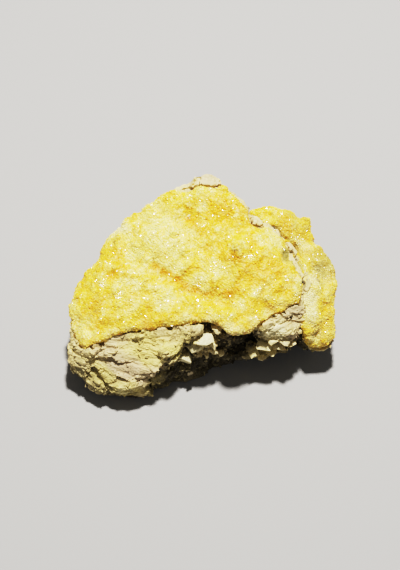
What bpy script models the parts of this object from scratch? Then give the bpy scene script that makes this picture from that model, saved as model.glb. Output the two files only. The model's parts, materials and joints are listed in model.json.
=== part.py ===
"""Native sulfur hand specimen.

A lump of pale layered host rock stands on a broken base face. Two sheets of fused
sulfur crystals lie on it: the main crust over the tilted top, and a side crust on the
lower ledge at the right. Sizes are in millimetres and become metres in `to_metres`.
"""
import math
import random

import bmesh
import bpy
import numpy as np
from mathutils import Matrix, Vector, noise
from mathutils.geometry import delaunay_2d_cdt

MM = 0.001
CONTACT_GAP = 0.3          # clear gap between touching pieces
SHORTEST_EDGE = 0.000003   # metres
SEED = 20

# ---- main crust -----------------------------------------------------------------
# Rim of the main crust, walked clockwise from the front left corner: x, y, top z.
MAIN_RIM = [
    (-40, -24, 20), (-43.5, -15, 21), (-44, -10.5, 22), (-41.5, -1.5, 24),
    (-37.5, 3, 26), (-35, 6, 27), (-33, 10, 29), (-30, 14.5, 31), (-25, 18, 34),
    (-20, 20.5, 36), (-13, 25, 39), (-5.5, 26.5, 41), (2, 26, 42), (8.5, 26.5, 42),
    (12, 22, 41), (15.5, 18.5, 40), (16.5, 13, 38), (23.5, 13.5, 36), (27, 10, 35),
    (29.5, 6, 34), (32, -1, 32), (34, -6, 31), (34, -10.5, 29), (29, -13, 28),
    (23, -16, 27.5), (18.5, -19, 27), (16, -22, 27), (10.5, -23.5, 27),
    (5.5, -19, 28), (0.5, -17.5, 28), (-8, -19, 27), (-16, -19.5, 26),
    (-28, -21, 24), (-34.5, -23, 22),
]
# Inner spots of the main crust: x, y and height above the plane through the rim.
MAIN_SPOTS = [
    (-16, 9, 3.2), (-27, 5, 1.6), (-34, -6, 1.8), (-36, -16, 1.2), (-24, -12, 2.4),
    (-12, -12, 2.6), (-2, -13, 1.6), (8, -16, 1.6), (20, -9, 1.8), (24, 0, 1.8),
    (22, 8, 1.4), (5, 18, 1.2), (-6, 19, 1.0), (2, 4, 1.6),
]
MAIN_CRUST_THICKNESS = 3.6   # at the rim, below the rim heights
AMBER_GROOVE = [(-24, 4), (-18, 1.2), (-11.7, -2.9), (-5, -7), (2, -10.5), (10, -12)]
AMBER_GROOVE_DEPTH = 2.4
AMBER_GROOVE_HALF_WIDTH = 2.6
LEFT_FLUTES = [[(-37, -14), (-36, -22)], [(-32, -15), (-31, -21)]]
LEFT_FLUTE_DEPTH = 1.3
LEFT_FLUTE_HALF_WIDTH = 1.4
# Pits and knobs: x, y, depth (minus) or height (plus), radius.
MAIN_BUMPS = [
    (-3.4, 16.6, -2.0, 2.6), (11.9, 3.7, 3.2, 3.4), (27.0, 3.6, -1.8, 2.4),
    (17.5, -8.5, -1.5, 2.2), (-31.5, 2.0, 1.4, 3.0), (-26.0, -10.5, 1.2, 2.8),
    (10.0, -17.5, 1.6, 3.0), (5.0, -5.5, 1.4, 2.8), (-11.0, 11.5, 1.2, 3.2),
]

# ---- side crust -----------------------------------------------------------------
SIDE_RIM = [
    (16.5, 21, 33), (18, 24, 31), (26.5, 24.5, 32), (34, 22.5, 30), (38, 20.5, 29),
    (38.5, 13, 27), (41.5, 11.5, 26), (45, 6.5, 25), (46.5, 0, 23.5),
    (46, -4.5, 22.5), (45, -8, 21), (46, -12, 18), (45, -19, 14), (41, -20.5, 13.5),
    (36.5, -20.5, 14.5), (35.8, -15, 21), (36.5, -10, 24.5), (41, -4.5, 24),
    (38, 2.5, 26), (33, 9, 28.5), (29.5, 12.5, 30), (26, 16.5, 31), (20.5, 18, 32.5),
]
SIDE_SPOTS = [(31, 18, 1.0), (40, 7, 1.2), (42.5, 0, 1.0), (41, -13, 1.6)]
SIDE_CRUST_THICKNESS = 3.2
SIDE_BUMPS = [(29, 20.5, 1.2, 2.8), (42.5, 5.0, 1.0, 2.4), (41.0, -16.0, 1.2, 2.6)]

# ---- crystals -------------------------------------------------------------------
# Sulfur grows as steep bipyramids. Its axes stand as 0.81 : 1 : 1.90.
AXIS_A = 0.81
AXIS_B = 1.0
AXIS_C = 1.90
CRYSTAL_MIN = 3.4          # width along the long belt axis
CRYSTAL_MAX = 5.6
CRYSTAL_SPACING = 2.6
CRYSTAL_SINK = 0.62        # depth of the belt under the surface, in half widths
CRYSTAL_TIP_CUT = (0.34, 0.62)   # where the flat end cuts the pyramid
CRYSTAL_LEAN = 0.45        # spread of the lean from the surface normal
RIM_CRYSTAL_STEP = 3.4     # distance between crystals along the rim
RIM_CRYSTAL_WIDTH = (2.6, 3.8)
RIM_CRYSTAL_SINK = 1.1     # how far the belt of a rim crystal lies inside the rim
RIM_CRYSTAL_DEPTH = (0.2, 0.7)   # place between top and bed, as part of the thickness
RIM_CRYSTAL_SPREAD = 0.4   # sideways spread of the direction
RIM_CRYSTAL_RISE = (-0.1, 0.9)   # upward part of the direction
MAIN_CRUST_TRIANGLES = 5200
SIDE_CRUST_TRIANGLES = 1300
PLATE_INSET = 0.8
PLATE_CELL = 5.0
PLATE_DROP = 0.9           # how far the plate's top lies under the crystal belts
EDGE_DROP = 0.9            # how far the top rounds down at the rim
EDGE_WIDTH = 2.2
RIM_SLACK = 1.0            # how far crystals may stand out past the rim
BED_CELL = 8.0             # grid of the sheet that parts crust and rock
BED_HALF_SPAN = 52.0
BED_GRID_SHIFT = (0.5, 0.3)      # keeps grid points off the rim corners
HIGH_ABOVE = 120.0         # ends of the blocks that cut rock and crust apart
DEEP_BELOW = -80.0
SLOPE_STEP = 0.8           # distance over which the slope of the top is read
SCATTER_TRIES = 14         # tries for each crystal that could fit

# ---- host rock ------------------------------------------------------------------
ROCK_VOXEL = 0.8
ROCK_TRIANGLES = 2700
LAYER_NORMAL = (-0.10, -0.32, 0.94)
LAYER_SPACING = 4.4
LAYER_RELIEF = 0.8
LAYER_LIP = 0.8            # share of a layer that rises before its edge breaks off
LAYER_WARP = 2.0
LAYER_WARP_SIZE = 14.0
LUMP_RELIEF = 1.0
LUMP_SIZE = 11.0
CHIP_TILT = 0.60           # slope of a fracture face against the mean surface
CHIP_STEP = 1.10           # height between neighbouring fracture faces
CHIP_SIZE = 7.5
CHIP_TILT_SEED = 7.3       # spread the noise of neighbouring fracture faces apart
CHIP_STEP_SEED = 5.1
NOISE_SHIFTS = [(3.1, 1.7, 8.2), (31.4, 52.6, 14.3), (71.9, 22.5, 63.8)]
BASE_DEPTH = 3.0           # how far the uncut lump reaches under the base face
# Convex chunks that the lump is made of, each by its corners.
ROCK_CHUNKS = {
    "core": [
        (-36, -22, 0), (-25, -31, 0), (-9, -28, 0), (6, -21, 0), (17, -15.5, 0),
        (26, -5, 0), (28, 10, 0), (20, 24, 0), (0, 28, 0), (-22, 22, 0), (-36, 5, 0),
        (-39, -12, 0), (-42, -14, 20), (-40, -2, 22), (-32, 11, 27), (-18, 21, 34),
        (0, 27, 40), (12, 23, 39), (28, 9, 33), (31, -6, 29), (18, -13, 26),
        (0, -13, 26), (-20, -17, 23), (-38, -21, 18),
    ],
    "front_wedge": [
        (-45, -23.5, 14.5), (-43, -25, 16.5), (-44, -27, 9), (-39.5, -30.5, 5.5),
        (-33, -32.5, 4), (-28.5, -32.5, 1), (-25, -32, 0), (-14, -30, 0),
        (0.5, -19.5, 24.5), (-6.5, -24.8, 21), (-14.3, -31, 15.5), (-19, -34, 11.5),
        (-26, -34, 10.5), (-41, -8, 2), (-43, -12, 18), (-2, -10, 24), (-12, -20, 0),
    ],
    "right_block": [
        (20.5, -18, 26), (25, -15, 26.5), (29, -13, 27), (33.5, -11, 26),
        (17.3, -19.3, 20), (19.3, -21, 19), (25.6, -22.6, 18.5), (32, -20.4, 20),
        (18, -8, 26), (34, -7, 25), (18, -10, 13), (33, -10, 13), (30, -18, 14),
        (20, -18, 15),
    ],
    "low_ledge": [
        (14.5, -21.5, 9), (21, -22.4, 10), (30.3, -21.6, 12), (33.6, -20.4, 14),
        (17.5, -20, 13), (31.8, -18, 15.5), (14, -12, 4), (26, -8, 4), (32, -12, 10),
        (18, -17, 4.5), (27, -17, 7),
    ],
    "side_ledge": [
        (17, 23, 30), (30, 22.5, 29), (37, 19.5, 27), (43.5, 6, 24), (45, -1, 22),
        (44.5, -12, 16), (44, -18, 12.5), (37, -19, 13), (30, -12, 26), (28, 8, 32),
        (18, 17, 34), (40, -16.5, 6), (35, -16.5, 6), (28, -6, 2), (30, 8, 3),
        (22, 20, 5), (40, 4, 10), (34, 18, 12),
    ],
    "back_peak": [
        (-26, 17.5, 31), (-11, 26.5, 37), (-4, 29, 39.5), (1.5, 33, 42),
        (6.5, 29.5, 40), (17, 21, 36), (-24, 20, 14), (0, 31, 18), (18, 24, 12),
        (-20, 14, 30), (14, 14, 34),
    ],
}
LUMP_CORNERS = 14
LUMP_ROUGHNESS = (0.85, 1.10)
# Lumps on the shaded face under the crust: x, y, z, radius.
ROCK_LUMPS = [
    (2.4, -19.2, 16.5, 3.6), (-1.6, -22.0, 12.5, 2.8), (-5.2, -24.4, 9.0, 3.4),
    (5.2, -21.4, 10.5, 2.8), (9.0, -20.6, 9.0, 2.4), (13.0, -18.6, 7.0, 3.0),
]

ROCK_COLOUR = (0.62, 0.52, 0.33)
CRUST_COLOUR = (0.80, 0.60, 0.10)
SIDE_CRUST_COLOUR = (0.74, 0.54, 0.11)


def to_metres(x, y, z):
    return Vector((x * MM, y * MM, z * MM))


def clear_scene():
    for found in list(bpy.data.objects):
        bpy.data.objects.remove(found, do_unlink=True)


def make_material(name, colour, roughness):
    material = bpy.data.materials.new(name)
    material.use_nodes = True
    shader = material.node_tree.nodes["Principled BSDF"]
    shader.inputs["Base Color"].default_value = (*colour, 1.0)
    shader.inputs["Roughness"].default_value = roughness
    material.diffuse_color = (*colour, 1.0)
    return material


def add_object(name, body):
    """Puts a bmesh into the scene as an object."""
    mesh = bpy.data.meshes.new(name)
    body.to_mesh(mesh)
    body.free()
    made = bpy.data.objects.new(name, mesh)
    bpy.context.scene.collection.objects.link(made)
    return made


def bake_modifiers(thing):
    """Replaces an object's mesh by the result of its modifiers."""
    bpy.context.view_layer.update()
    graph = bpy.context.evaluated_depsgraph_get()
    baked = bpy.data.meshes.new_from_object(thing.evaluated_get(graph))
    thing.modifiers.clear()
    old = thing.data
    thing.data = baked
    bpy.data.meshes.remove(old)


def drop(thing):
    bpy.data.objects.remove(thing, do_unlink=True)


def boolean(target, tool, operation, own_crossings=False):
    step = target.modifiers.new(operation.lower(), "BOOLEAN")
    step.operation = operation
    step.solver = "EXACT"
    step.use_self = own_crossings
    step.object = tool
    tool.hide_render = True
    tool.display_type = "WIRE"
    bake_modifiers(target)
    drop(tool)


# ---- plane and height field -----------------------------------------------------

def fit_plane(points):
    """Least-squares plane z = a + b x + c y through spot heights."""
    table = np.array(points, dtype=float)
    left = np.column_stack([np.ones(len(table)), table[:, 0], table[:, 1]])
    a, b, c = np.linalg.lstsq(left, table[:, 2], rcond=None)[0]
    return float(a), float(b), float(c)


def on_plane(plane, x, y):
    return plane[0] + plane[1] * x + plane[2] * y


def spread(distance):
    """Thin-plate kernel."""
    safe = np.maximum(distance, 1e-6)
    return safe * safe * np.log(safe)


class Sheet:
    """Smooth thin-plate sheet through spot heights."""

    def __init__(self, spots):
        table = np.array(spots, dtype=float)
        self.centres = table[:, :2]
        count = len(table)
        system = np.zeros((count + 3, count + 3))
        gaps = np.linalg.norm(self.centres[:, None] - self.centres[None, :], axis=2)
        system[:count, :count] = spread(gaps)
        system[:count, count] = 1.0
        system[:count, count + 1:] = self.centres
        system[count:, :count] = system[:count, count:].T
        wanted = np.zeros(count + 3)
        wanted[:count] = table[:, 2]
        self.weights = np.linalg.solve(system, wanted)

    def lift(self, x, y):
        count = len(self.centres)
        away = np.hypot(self.centres[:, 0] - x, self.centres[:, 1] - y)
        base = self.weights[count:] @ np.array([1.0, x, y])
        return float(spread(away) @ self.weights[:count] + base)


class Surface:
    """Top of a crust: a smooth sheet through spot heights, with grooves and bumps."""

    def __init__(self, rim, spots, bumps, grooves, thickness):
        self.thickness = thickness
        self.plane = fit_plane(rim)
        edge = [(x, y, z - on_plane(self.plane, x, y)) for x, y, z in rim]
        self.rim_sheet = Sheet(edge)
        self.full_sheet = Sheet(edge + list(spots))
        self.bumps = bumps
        self.grooves = grooves
        self.outline = [(x, y) for x, y, _ in rim]

    def height(self, x, y):
        lift = self.full_sheet.lift(x, y)
        for bx, by, rise, radius in self.bumps:
            lift += rise * math.exp(-((x - bx) ** 2 + (y - by) ** 2) / radius ** 2)
        for route, depth, half_width in self.grooves:
            near = distance_to_route(x, y, route)
            lift -= depth * math.exp(-(near / half_width) ** 2)
        rim_near = distance_to_route(x, y, self.outline + self.outline[:1])
        lift -= EDGE_DROP * math.exp(-(rim_near / EDGE_WIDTH) ** 2)
        return on_plane(self.plane, x, y) + lift

    def rim_height(self, x, y):
        """The same sheet without spots, bumps and grooves: it follows the rim alone."""
        return on_plane(self.plane, x, y) + self.rim_sheet.lift(x, y)

    def bed_height(self, x, y):
        """Underside of the crust."""
        return self.rim_height(x, y) - self.thickness

    def normal(self, x, y):
        step = SLOPE_STEP
        slope_x = (self.height(x + step, y) - self.height(x - step, y)) / (2 * step)
        slope_y = (self.height(x, y + step) - self.height(x, y - step)) / (2 * step)
        return Vector((-slope_x, -slope_y, 1.0)).normalized()


def distance_to_route(x, y, route):
    best = 1e9
    for (ax, ay), (bx, by) in zip(route, route[1:]):
        run = (bx - ax) ** 2 + (by - ay) ** 2
        share = ((x - ax) * (bx - ax) + (y - ay) * (by - ay)) / run
        share = min(1.0, max(0.0, share))
        best = min(best, math.hypot(x - ax - share * (bx - ax),
                                    y - ay - share * (by - ay)))
    return best


def inside(x, y, outline):
    """Even-odd test of a plan point."""
    found = False
    for (ax, ay), (bx, by) in zip(outline, outline[1:] + outline[:1]):
        if (ay > y) != (by > y) and x < ax + (y - ay) * (bx - ax) / (by - ay):
            found = not found
    return found


def signed_area(outline):
    pairs = zip(outline, outline[1:] + outline[:1])
    return 0.5 * sum(ax * by - bx * ay for (ax, ay), (bx, by) in pairs)


def offset_outline(outline, distance):
    """Moves each corner of a plan outline outward (or inward when negative)."""
    turn = 1.0 if signed_area(outline) > 0 else -1.0
    moved = []
    count = len(outline)
    for i, (x, y) in enumerate(outline):
        before = Vector((x, y)) - Vector(outline[i - 1])
        after = Vector(outline[(i + 1) % count]) - Vector((x, y))
        before.normalize()
        after.normalize()
        side_a = Vector((before.y, -before.x)) * turn
        side_b = Vector((after.y, -after.x)) * turn
        middle = (side_a + side_b).normalized()
        reach = distance / max(0.5, middle.dot(side_a))
        moved.append((x + middle.x * reach, y + middle.y * reach))
    return moved


# ---- crusts ---------------------------------------------------------------------

def grid_points(outline, cell, dice):
    """Staggered plan points inside an outline, a little out of line."""
    xs = [x for x, _ in outline]
    ys = [y for _, y in outline]
    row_step = cell * math.sqrt(0.75)
    found = []
    for row in range(int((max(ys) - min(ys)) / row_step) + 1):
        for column in range(int((max(xs) - min(xs)) / cell) + 1):
            x = min(xs) + (column + 0.5 * (row % 2) + dice.uniform(-0.2, 0.2)) * cell
            y = min(ys) + row * row_step + dice.uniform(-0.2, 0.2) * cell
            if inside(x, y, outline):
                found.append((x, y))
    return found


def slab(name, outline, inner, low_height, high_height):
    """Closed solid over a plan outline, between two heights given as functions."""
    points = [Vector(p) for p in outline + inner]
    count = len(outline)
    edges = [(i, (i + 1) % count) for i in range(count)]
    found = delaunay_2d_cdt(points, edges, [list(range(count))], 1, 1e-5)
    flat, faces = found[0], found[2]
    body = bmesh.new()
    top = [body.verts.new(to_metres(p.x, p.y, high_height(p.x, p.y))) for p in flat]
    low = [body.verts.new(to_metres(p.x, p.y, low_height(p.x, p.y))) for p in flat]
    sides = set()
    for face in faces:
        body.faces.new([top[i] for i in face])
        body.faces.new([low[i] for i in reversed(face)])
        sides.update(zip(face, face[1:] + face[:1]))
    for a, b in sorted(sides):
        if (b, a) not in sides:
            body.faces.new([top[b], top[a], low[a], low[b]])
    bmesh.ops.recalc_face_normals(body, faces=body.faces)
    return add_object(name, body)


def bed_grid():
    """Plan points shared by all sheets that part a crust from the rock."""
    steps = round(2 * BED_HALF_SPAN / BED_CELL)
    found = []
    for row in range(1, steps):
        for column in range(1, steps):
            x = -BED_HALF_SPAN + column * BED_CELL + BED_GRID_SHIFT[0]
            y = -BED_HALF_SPAN + row * BED_CELL + BED_GRID_SHIFT[1]
            found.append((x, y))
    return found


def wide_square():
    span = BED_HALF_SPAN
    return [(-span, -span), (span, -span), (span, span), (-span, span)]


def block_under(name, surface):
    """Everything under the bed of a crust."""
    return slab(name, wide_square(), bed_grid(),
                lambda x, y: DEEP_BELOW, surface.bed_height)


def block_over(name, surface):
    """Everything over the same sheet, lowered by the contact gap."""
    return slab(name, wide_square(), bed_grid(),
                lambda x, y: surface.bed_height(x, y) - CONTACT_GAP,
                lambda x, y: HIGH_ABOVE)


def crystal_corners(width, tip, aim, spin):
    """Corners of one bipyramid with a flat upper end, pointing along `aim`."""
    a = 0.5 * width * AXIS_A
    b = 0.5 * width * AXIS_B
    c = 0.5 * width * AXIS_C
    ring = [(a, 0), (0, b), (-a, 0), (0, -b)]
    corners = [Vector((x, y, 0)) for x, y in ring]
    corners += [Vector((x * (1 - tip), y * (1 - tip), c * tip)) for x, y in ring]
    corners.append(Vector((0, 0, -c)))
    lean = Vector((0, 0, 1)).rotation_difference(aim.normalized()).to_matrix()
    turn = lean @ Matrix.Rotation(spin, 3, "Z")
    return [turn @ corner for corner in corners]


CRYSTAL_FACES = [
    (0, 1, 5, 4), (1, 2, 6, 5), (2, 3, 7, 6), (3, 0, 4, 7), (4, 5, 6, 7),
    (1, 0, 8), (2, 1, 8), (3, 2, 8), (0, 3, 8),
]


def scatter(outline, spacing, dice):
    """Plan points that keep their distance from each other."""
    xs = [x for x, _ in outline]
    ys = [y for _, y in outline]
    kept = []
    box_area = (max(xs) - min(xs)) * (max(ys) - min(ys))
    for _ in range(round(SCATTER_TRIES * box_area / spacing ** 2)):
        x = dice.uniform(min(xs), max(xs))
        y = dice.uniform(min(ys), max(ys))
        if not inside(x, y, outline):
            continue
        if all(math.hypot(x - kx, y - ky) > spacing for kx, ky in kept):
            kept.append((x, y))
    return kept


def top_seats(outline, surface, dice):
    """Foot, direction and width of the crystals that cover the top."""
    seats = []
    for x, y in scatter(outline, CRYSTAL_SPACING, dice):
        width = CRYSTAL_MIN + (CRYSTAL_MAX - CRYSTAL_MIN) * dice.random() ** 1.4
        up = surface.normal(x, y)
        lean = Vector((dice.gauss(0, 1), dice.gauss(0, 1), 0)) * CRYSTAL_LEAN
        foot = Vector((x, y, surface.height(x, y))) - up * CRYSTAL_SINK * 0.5 * width
        seats.append((foot, up + lean, width))
    return seats


def rim_seats(outline, surface, dice):
    """The same for the crystals that stand out from the rim of the plate."""
    seats = []
    turn = 1.0 if signed_area(outline) > 0 else -1.0
    for (ax, ay), (bx, by) in zip(outline, outline[1:] + outline[:1]):
        run = math.hypot(bx - ax, by - ay)
        outward = Vector(((by - ay) / run, (ax - bx) / run, 0.0)) * turn
        count = max(1, round(run / RIM_CRYSTAL_STEP))
        for i in range(count):
            share = (i + dice.uniform(0.25, 0.75)) / count
            x = ax + (bx - ax) * share
            y = ay + (by - ay) * share
            width = dice.uniform(*RIM_CRYSTAL_WIDTH)
            depth = surface.thickness * dice.uniform(*RIM_CRYSTAL_DEPTH)
            place = Vector((x, y, surface.rim_height(x, y) - depth))
            stray_x = dice.gauss(0, RIM_CRYSTAL_SPREAD)
            stray_y = dice.gauss(0, RIM_CRYSTAL_SPREAD)
            stray = Vector((stray_x, stray_y, dice.uniform(*RIM_CRYSTAL_RISE)))
            seats.append((place - outward * RIM_CRYSTAL_SINK, outward + stray, width))
    return seats


def crystals(name, outline, seats, dice):
    """Druse of crystals, one closed shell each."""
    limit = offset_outline(outline, RIM_SLACK)
    body = bmesh.new()
    for foot, aim, width in seats:
        tip = dice.uniform(*CRYSTAL_TIP_CUT)
        spin = dice.uniform(0, 2 * math.pi)
        corners = [foot + c for c in crystal_corners(width, tip, aim, spin)]
        if any(not inside(c.x, c.y, limit) for c in corners):
            continue
        made = [body.verts.new(to_metres(*c)) for c in corners]
        for face in CRYSTAL_FACES:
            body.faces.new([made[i] for i in face])
    bmesh.ops.recalc_face_normals(body, faces=body.faces)
    return add_object(name, body)


def thin_out(thing, triangles):
    """Merges the smallest facets until about the given number is left."""
    body = bmesh.new()
    body.from_mesh(thing.data)
    bmesh.ops.triangulate(body, faces=body.faces)
    body.to_mesh(thing.data)
    body.free()
    step = thing.modifiers.new("thin", "DECIMATE")
    step.ratio = min(1.0, triangles / len(thing.data.polygons))
    bake_modifiers(thing)


def keep_largest_body(thing):
    """Deletes loose crumbs and leaves one closed body of triangles."""
    body = bmesh.new()
    body.from_mesh(thing.data)
    left = set(body.verts)
    groups = []
    while left:
        group = {left.pop()}
        edge = list(group)
        while edge:
            vert = edge.pop()
            near = {link.other_vert(vert) for link in vert.link_edges}
            edge.extend(near & left)
            group |= near & left
            left -= near
        groups.append(group)
    groups.sort(key=len)
    spare = [vert for group in groups[:-1] for vert in group]
    bmesh.ops.delete(body, geom=spare, context="VERTS")
    bmesh.ops.dissolve_degenerate(body, edges=body.edges, dist=SHORTEST_EDGE)
    bmesh.ops.triangulate(body, faces=body.faces)
    body.to_mesh(thing.data)
    body.free()


def crust(name, surface, triangles, dice, material):
    """One crust: plate and crystals fused, cut along the bed."""
    outline = surface.outline
    base = offset_outline(outline, -PLATE_INSET)
    inner = grid_points(offset_outline(base, -0.45 * PLATE_CELL), PLATE_CELL, dice)
    made = slab(name, base, inner, lambda x, y: 0.0,
                lambda x, y: surface.height(x, y) - PLATE_DROP)
    seats = top_seats(outline, surface, dice) + rim_seats(outline, surface, dice)
    boolean(made, crystals(name + "_druse", outline, seats, dice), "UNION", True)
    boolean(made, block_under(name + "_bed", surface), "DIFFERENCE")
    keep_largest_body(made)
    thin_out(made, triangles)
    made.data.materials.clear()
    made.data.materials.append(material)
    return made


# ---- host rock ------------------------------------------------------------------

def chunk(body, corners):
    """One convex chunk. Corners on the ground reach below it, for the level cut."""
    verts = []
    for x, y, z in corners:
        verts.append(body.verts.new(to_metres(x, y, z if z > 0 else -BASE_DEPTH)))
    made = bmesh.ops.convex_hull(body, input=verts)
    spare = [v for v in made["geom_interior"] if isinstance(v, bmesh.types.BMVert)]
    bmesh.ops.delete(body, geom=spare, context="VERTS")


def lump(body, x, y, z, radius, dice):
    """One small angular lump."""
    corners = []
    for _ in range(LUMP_CORNERS):
        way = Vector((dice.gauss(0, 1), dice.gauss(0, 1), dice.gauss(0, 1)))
        way = way.normalized() * radius * dice.uniform(*LUMP_ROUGHNESS)
        corners.append((x + way.x, y + way.y, z + way.z))
    chunk(body, corners)


def noise_vector(place):
    """Three noise values from three places far from each other."""
    return Vector([noise.noise(place + Vector(shift)) for shift in NOISE_SHIFTS])


def fracture_face(place):
    """Height of the flat fracture face that a place lies on."""
    centre = noise.voronoi(place / CHIP_SIZE)[1][0]
    tilt = noise_vector(centre * CHIP_TILT_SEED)
    step = noise.noise(centre * CHIP_STEP_SEED)
    return CHIP_TILT * tilt.dot(place - centre * CHIP_SIZE) + CHIP_STEP * step


def rock_relief(place):
    """Outward relief of the broken surface at a place, in millimetres."""
    warp = noise_vector(place / LAYER_WARP_SIZE) * LAYER_WARP
    along = (place + warp).dot(Vector(LAYER_NORMAL)) / LAYER_SPACING
    step = along - math.floor(along)
    broken = max(0.0, step - LAYER_LIP) / (1.0 - LAYER_LIP)
    ledge = step * (1.0 - broken) - 0.5 * LAYER_LIP
    lumps = noise.noise(place / LUMP_SIZE)
    return LAYER_RELIEF * ledge + LUMP_RELIEF * lumps + fracture_face(place)


def crust_room(name, surface):
    """Cutter that takes away the rock where a crust lies, with the contact gap."""
    outline = offset_outline(surface.outline, RIM_SLACK + CONTACT_GAP)
    room = slab(name, outline, [], lambda x, y: 0.5 * DEEP_BELOW,
                lambda x, y: 0.5 * HIGH_ABOVE)
    boolean(room, block_over(name + "_bed", surface), "INTERSECT")
    return room


def blend(thing):
    """Joins all shells of an object in one even skin."""
    step = thing.modifiers.new("blend", "REMESH")
    step.mode = "VOXEL"
    step.voxel_size = ROCK_VOXEL * MM
    bake_modifiers(thing)


def break_surface(rock):
    """Moves the skin of the lump to its layered and broken relief."""
    body = bmesh.new()
    body.from_mesh(rock.data)
    body.normal_update()
    moves = [vert.normal * rock_relief(vert.co / MM) * MM for vert in body.verts]
    for vert, move in zip(body.verts, moves):
        vert.co += move
    body.to_mesh(rock.data)
    body.free()


def host_rock(rooms, material):
    dice = random.Random(SEED + 5)
    body = bmesh.new()
    for corners in ROCK_CHUNKS.values():
        chunk(body, corners)
    for x, y, z, radius in ROCK_LUMPS:
        lump(body, x, y, z, radius, dice)
    rock = add_object("host_rock", body)
    blend(rock)
    break_surface(rock)
    blend(rock)
    thin_out(rock, ROCK_TRIANGLES)
    flatten_base(rock)
    for room in rooms:
        boolean(rock, room, "DIFFERENCE")
    keep_largest_body(rock)
    rock.data.materials.clear()
    rock.data.materials.append(material)
    return rock


def flatten_base(rock):
    """Cuts the lump with a level block, so that its base is one flat face."""
    body = bmesh.new()
    bmesh.ops.create_cube(body, size=1.0)
    wide = 4 * BED_HALF_SPAN
    for vert in body.verts:
        x, y, z = vert.co
        vert.co = to_metres(x * wide, y * wide, (z - 0.5) * 8 * BASE_DEPTH)
    block = add_object("base_cut", body)
    boolean(rock, block, "DIFFERENCE")


def stand_on_origin(things):
    """Moves all pieces so that the origin is under the middle of the whole box."""
    corners = [v.co for thing in things for v in thing.data.vertices]
    low = Vector([min(c[i] for c in corners) for i in range(3)])
    high = Vector([max(c[i] for c in corners) for i in range(3)])
    move = Vector((-(low.x + high.x) / 2, -(low.y + high.y) / 2, -low.z))
    for thing in things:
        thing.data.transform(Matrix.Translation(move))
        thing.data.update()


def main_surface():
    grooves = [(AMBER_GROOVE, AMBER_GROOVE_DEPTH, AMBER_GROOVE_HALF_WIDTH)]
    for flute in LEFT_FLUTES:
        grooves.append((flute, LEFT_FLUTE_DEPTH, LEFT_FLUTE_HALF_WIDTH))
    return Surface(MAIN_RIM, MAIN_SPOTS, MAIN_BUMPS, grooves, MAIN_CRUST_THICKNESS)


def side_surface():
    return Surface(SIDE_RIM, SIDE_SPOTS, SIDE_BUMPS, [], SIDE_CRUST_THICKNESS)


def build():
    clear_scene()
    main = crust("sulfur_crust", main_surface(), MAIN_CRUST_TRIANGLES,
                 random.Random(SEED), make_material("sulfur_crust", CRUST_COLOUR, 0.35))
    side = crust("side_sulfur_crust", side_surface(), SIDE_CRUST_TRIANGLES,
                 random.Random(SEED + 1),
                 make_material("side_sulfur_crust", SIDE_CRUST_COLOUR, 0.4))
    rooms = [crust_room("main_room", main_surface()), crust_room("side_room", side_surface())]
    rock = host_rock(rooms, make_material("host_rock", ROCK_COLOUR, 0.9))
    stand_on_origin([rock, main, side])


build()
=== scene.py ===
import itertools
import json
import math

import bmesh
import bpy
import numpy as np
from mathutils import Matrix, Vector
from mathutils.bvhtree import BVHTree
from mathutils.kdtree import KDTree

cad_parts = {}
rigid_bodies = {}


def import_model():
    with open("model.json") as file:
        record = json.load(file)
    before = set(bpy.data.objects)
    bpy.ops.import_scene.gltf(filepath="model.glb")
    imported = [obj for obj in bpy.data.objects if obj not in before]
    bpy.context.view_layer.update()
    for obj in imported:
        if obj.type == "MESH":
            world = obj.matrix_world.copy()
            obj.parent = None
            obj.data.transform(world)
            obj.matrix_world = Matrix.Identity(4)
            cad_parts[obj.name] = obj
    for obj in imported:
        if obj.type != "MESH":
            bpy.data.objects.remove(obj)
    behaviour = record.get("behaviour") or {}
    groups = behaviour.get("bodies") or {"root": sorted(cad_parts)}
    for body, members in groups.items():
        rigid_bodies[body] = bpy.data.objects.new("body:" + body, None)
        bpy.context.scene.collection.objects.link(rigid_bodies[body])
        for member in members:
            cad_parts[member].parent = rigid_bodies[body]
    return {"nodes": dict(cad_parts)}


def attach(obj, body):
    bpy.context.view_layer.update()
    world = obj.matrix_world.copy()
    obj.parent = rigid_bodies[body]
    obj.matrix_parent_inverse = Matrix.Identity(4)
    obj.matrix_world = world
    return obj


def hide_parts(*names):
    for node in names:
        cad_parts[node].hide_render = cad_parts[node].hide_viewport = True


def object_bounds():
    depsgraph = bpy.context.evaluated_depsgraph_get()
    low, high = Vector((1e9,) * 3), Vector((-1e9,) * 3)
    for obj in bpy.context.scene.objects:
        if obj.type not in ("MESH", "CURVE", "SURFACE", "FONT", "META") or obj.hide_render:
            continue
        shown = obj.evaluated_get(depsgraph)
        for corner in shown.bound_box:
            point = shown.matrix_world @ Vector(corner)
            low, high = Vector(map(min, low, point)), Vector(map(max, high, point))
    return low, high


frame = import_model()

# Native sulfur on its host rock: two crusts of yellow crystals over a pale, layered rock.
# Every length below is in millimetres of the specimen, unless it says otherwise.

MM = 0.001
SOLIDS_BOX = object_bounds()
BODY = "root"

# ---- tones of the specimen, with painted shade and light, as linear red, green, blue ----

LEMON = (0.930, 0.590, 0.046)
GOLD = (0.910, 0.480, 0.017)
PALE = (0.975, 0.755, 0.215)
AMBER = (0.800, 0.365, 0.010)
CREAM = (0.900, 0.740, 0.300)
# dull green-brown: partly the sulfur's own tone, partly painted shade on the side crust's far side and in pits
OLIVE_AND_SHADE = (0.380, 0.310, 0.080)
# painted shade: darker, deeper yellow multiplied into the crust's hollows
HOLLOW_SHADE_TONE = (1.000, 0.800, 0.320)
# painted highlight: paler tone on the crust's raised tips and the heads of its crystals
TIP_HIGHLIGHT_TONE = (0.960, 0.800, 0.330)

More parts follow.
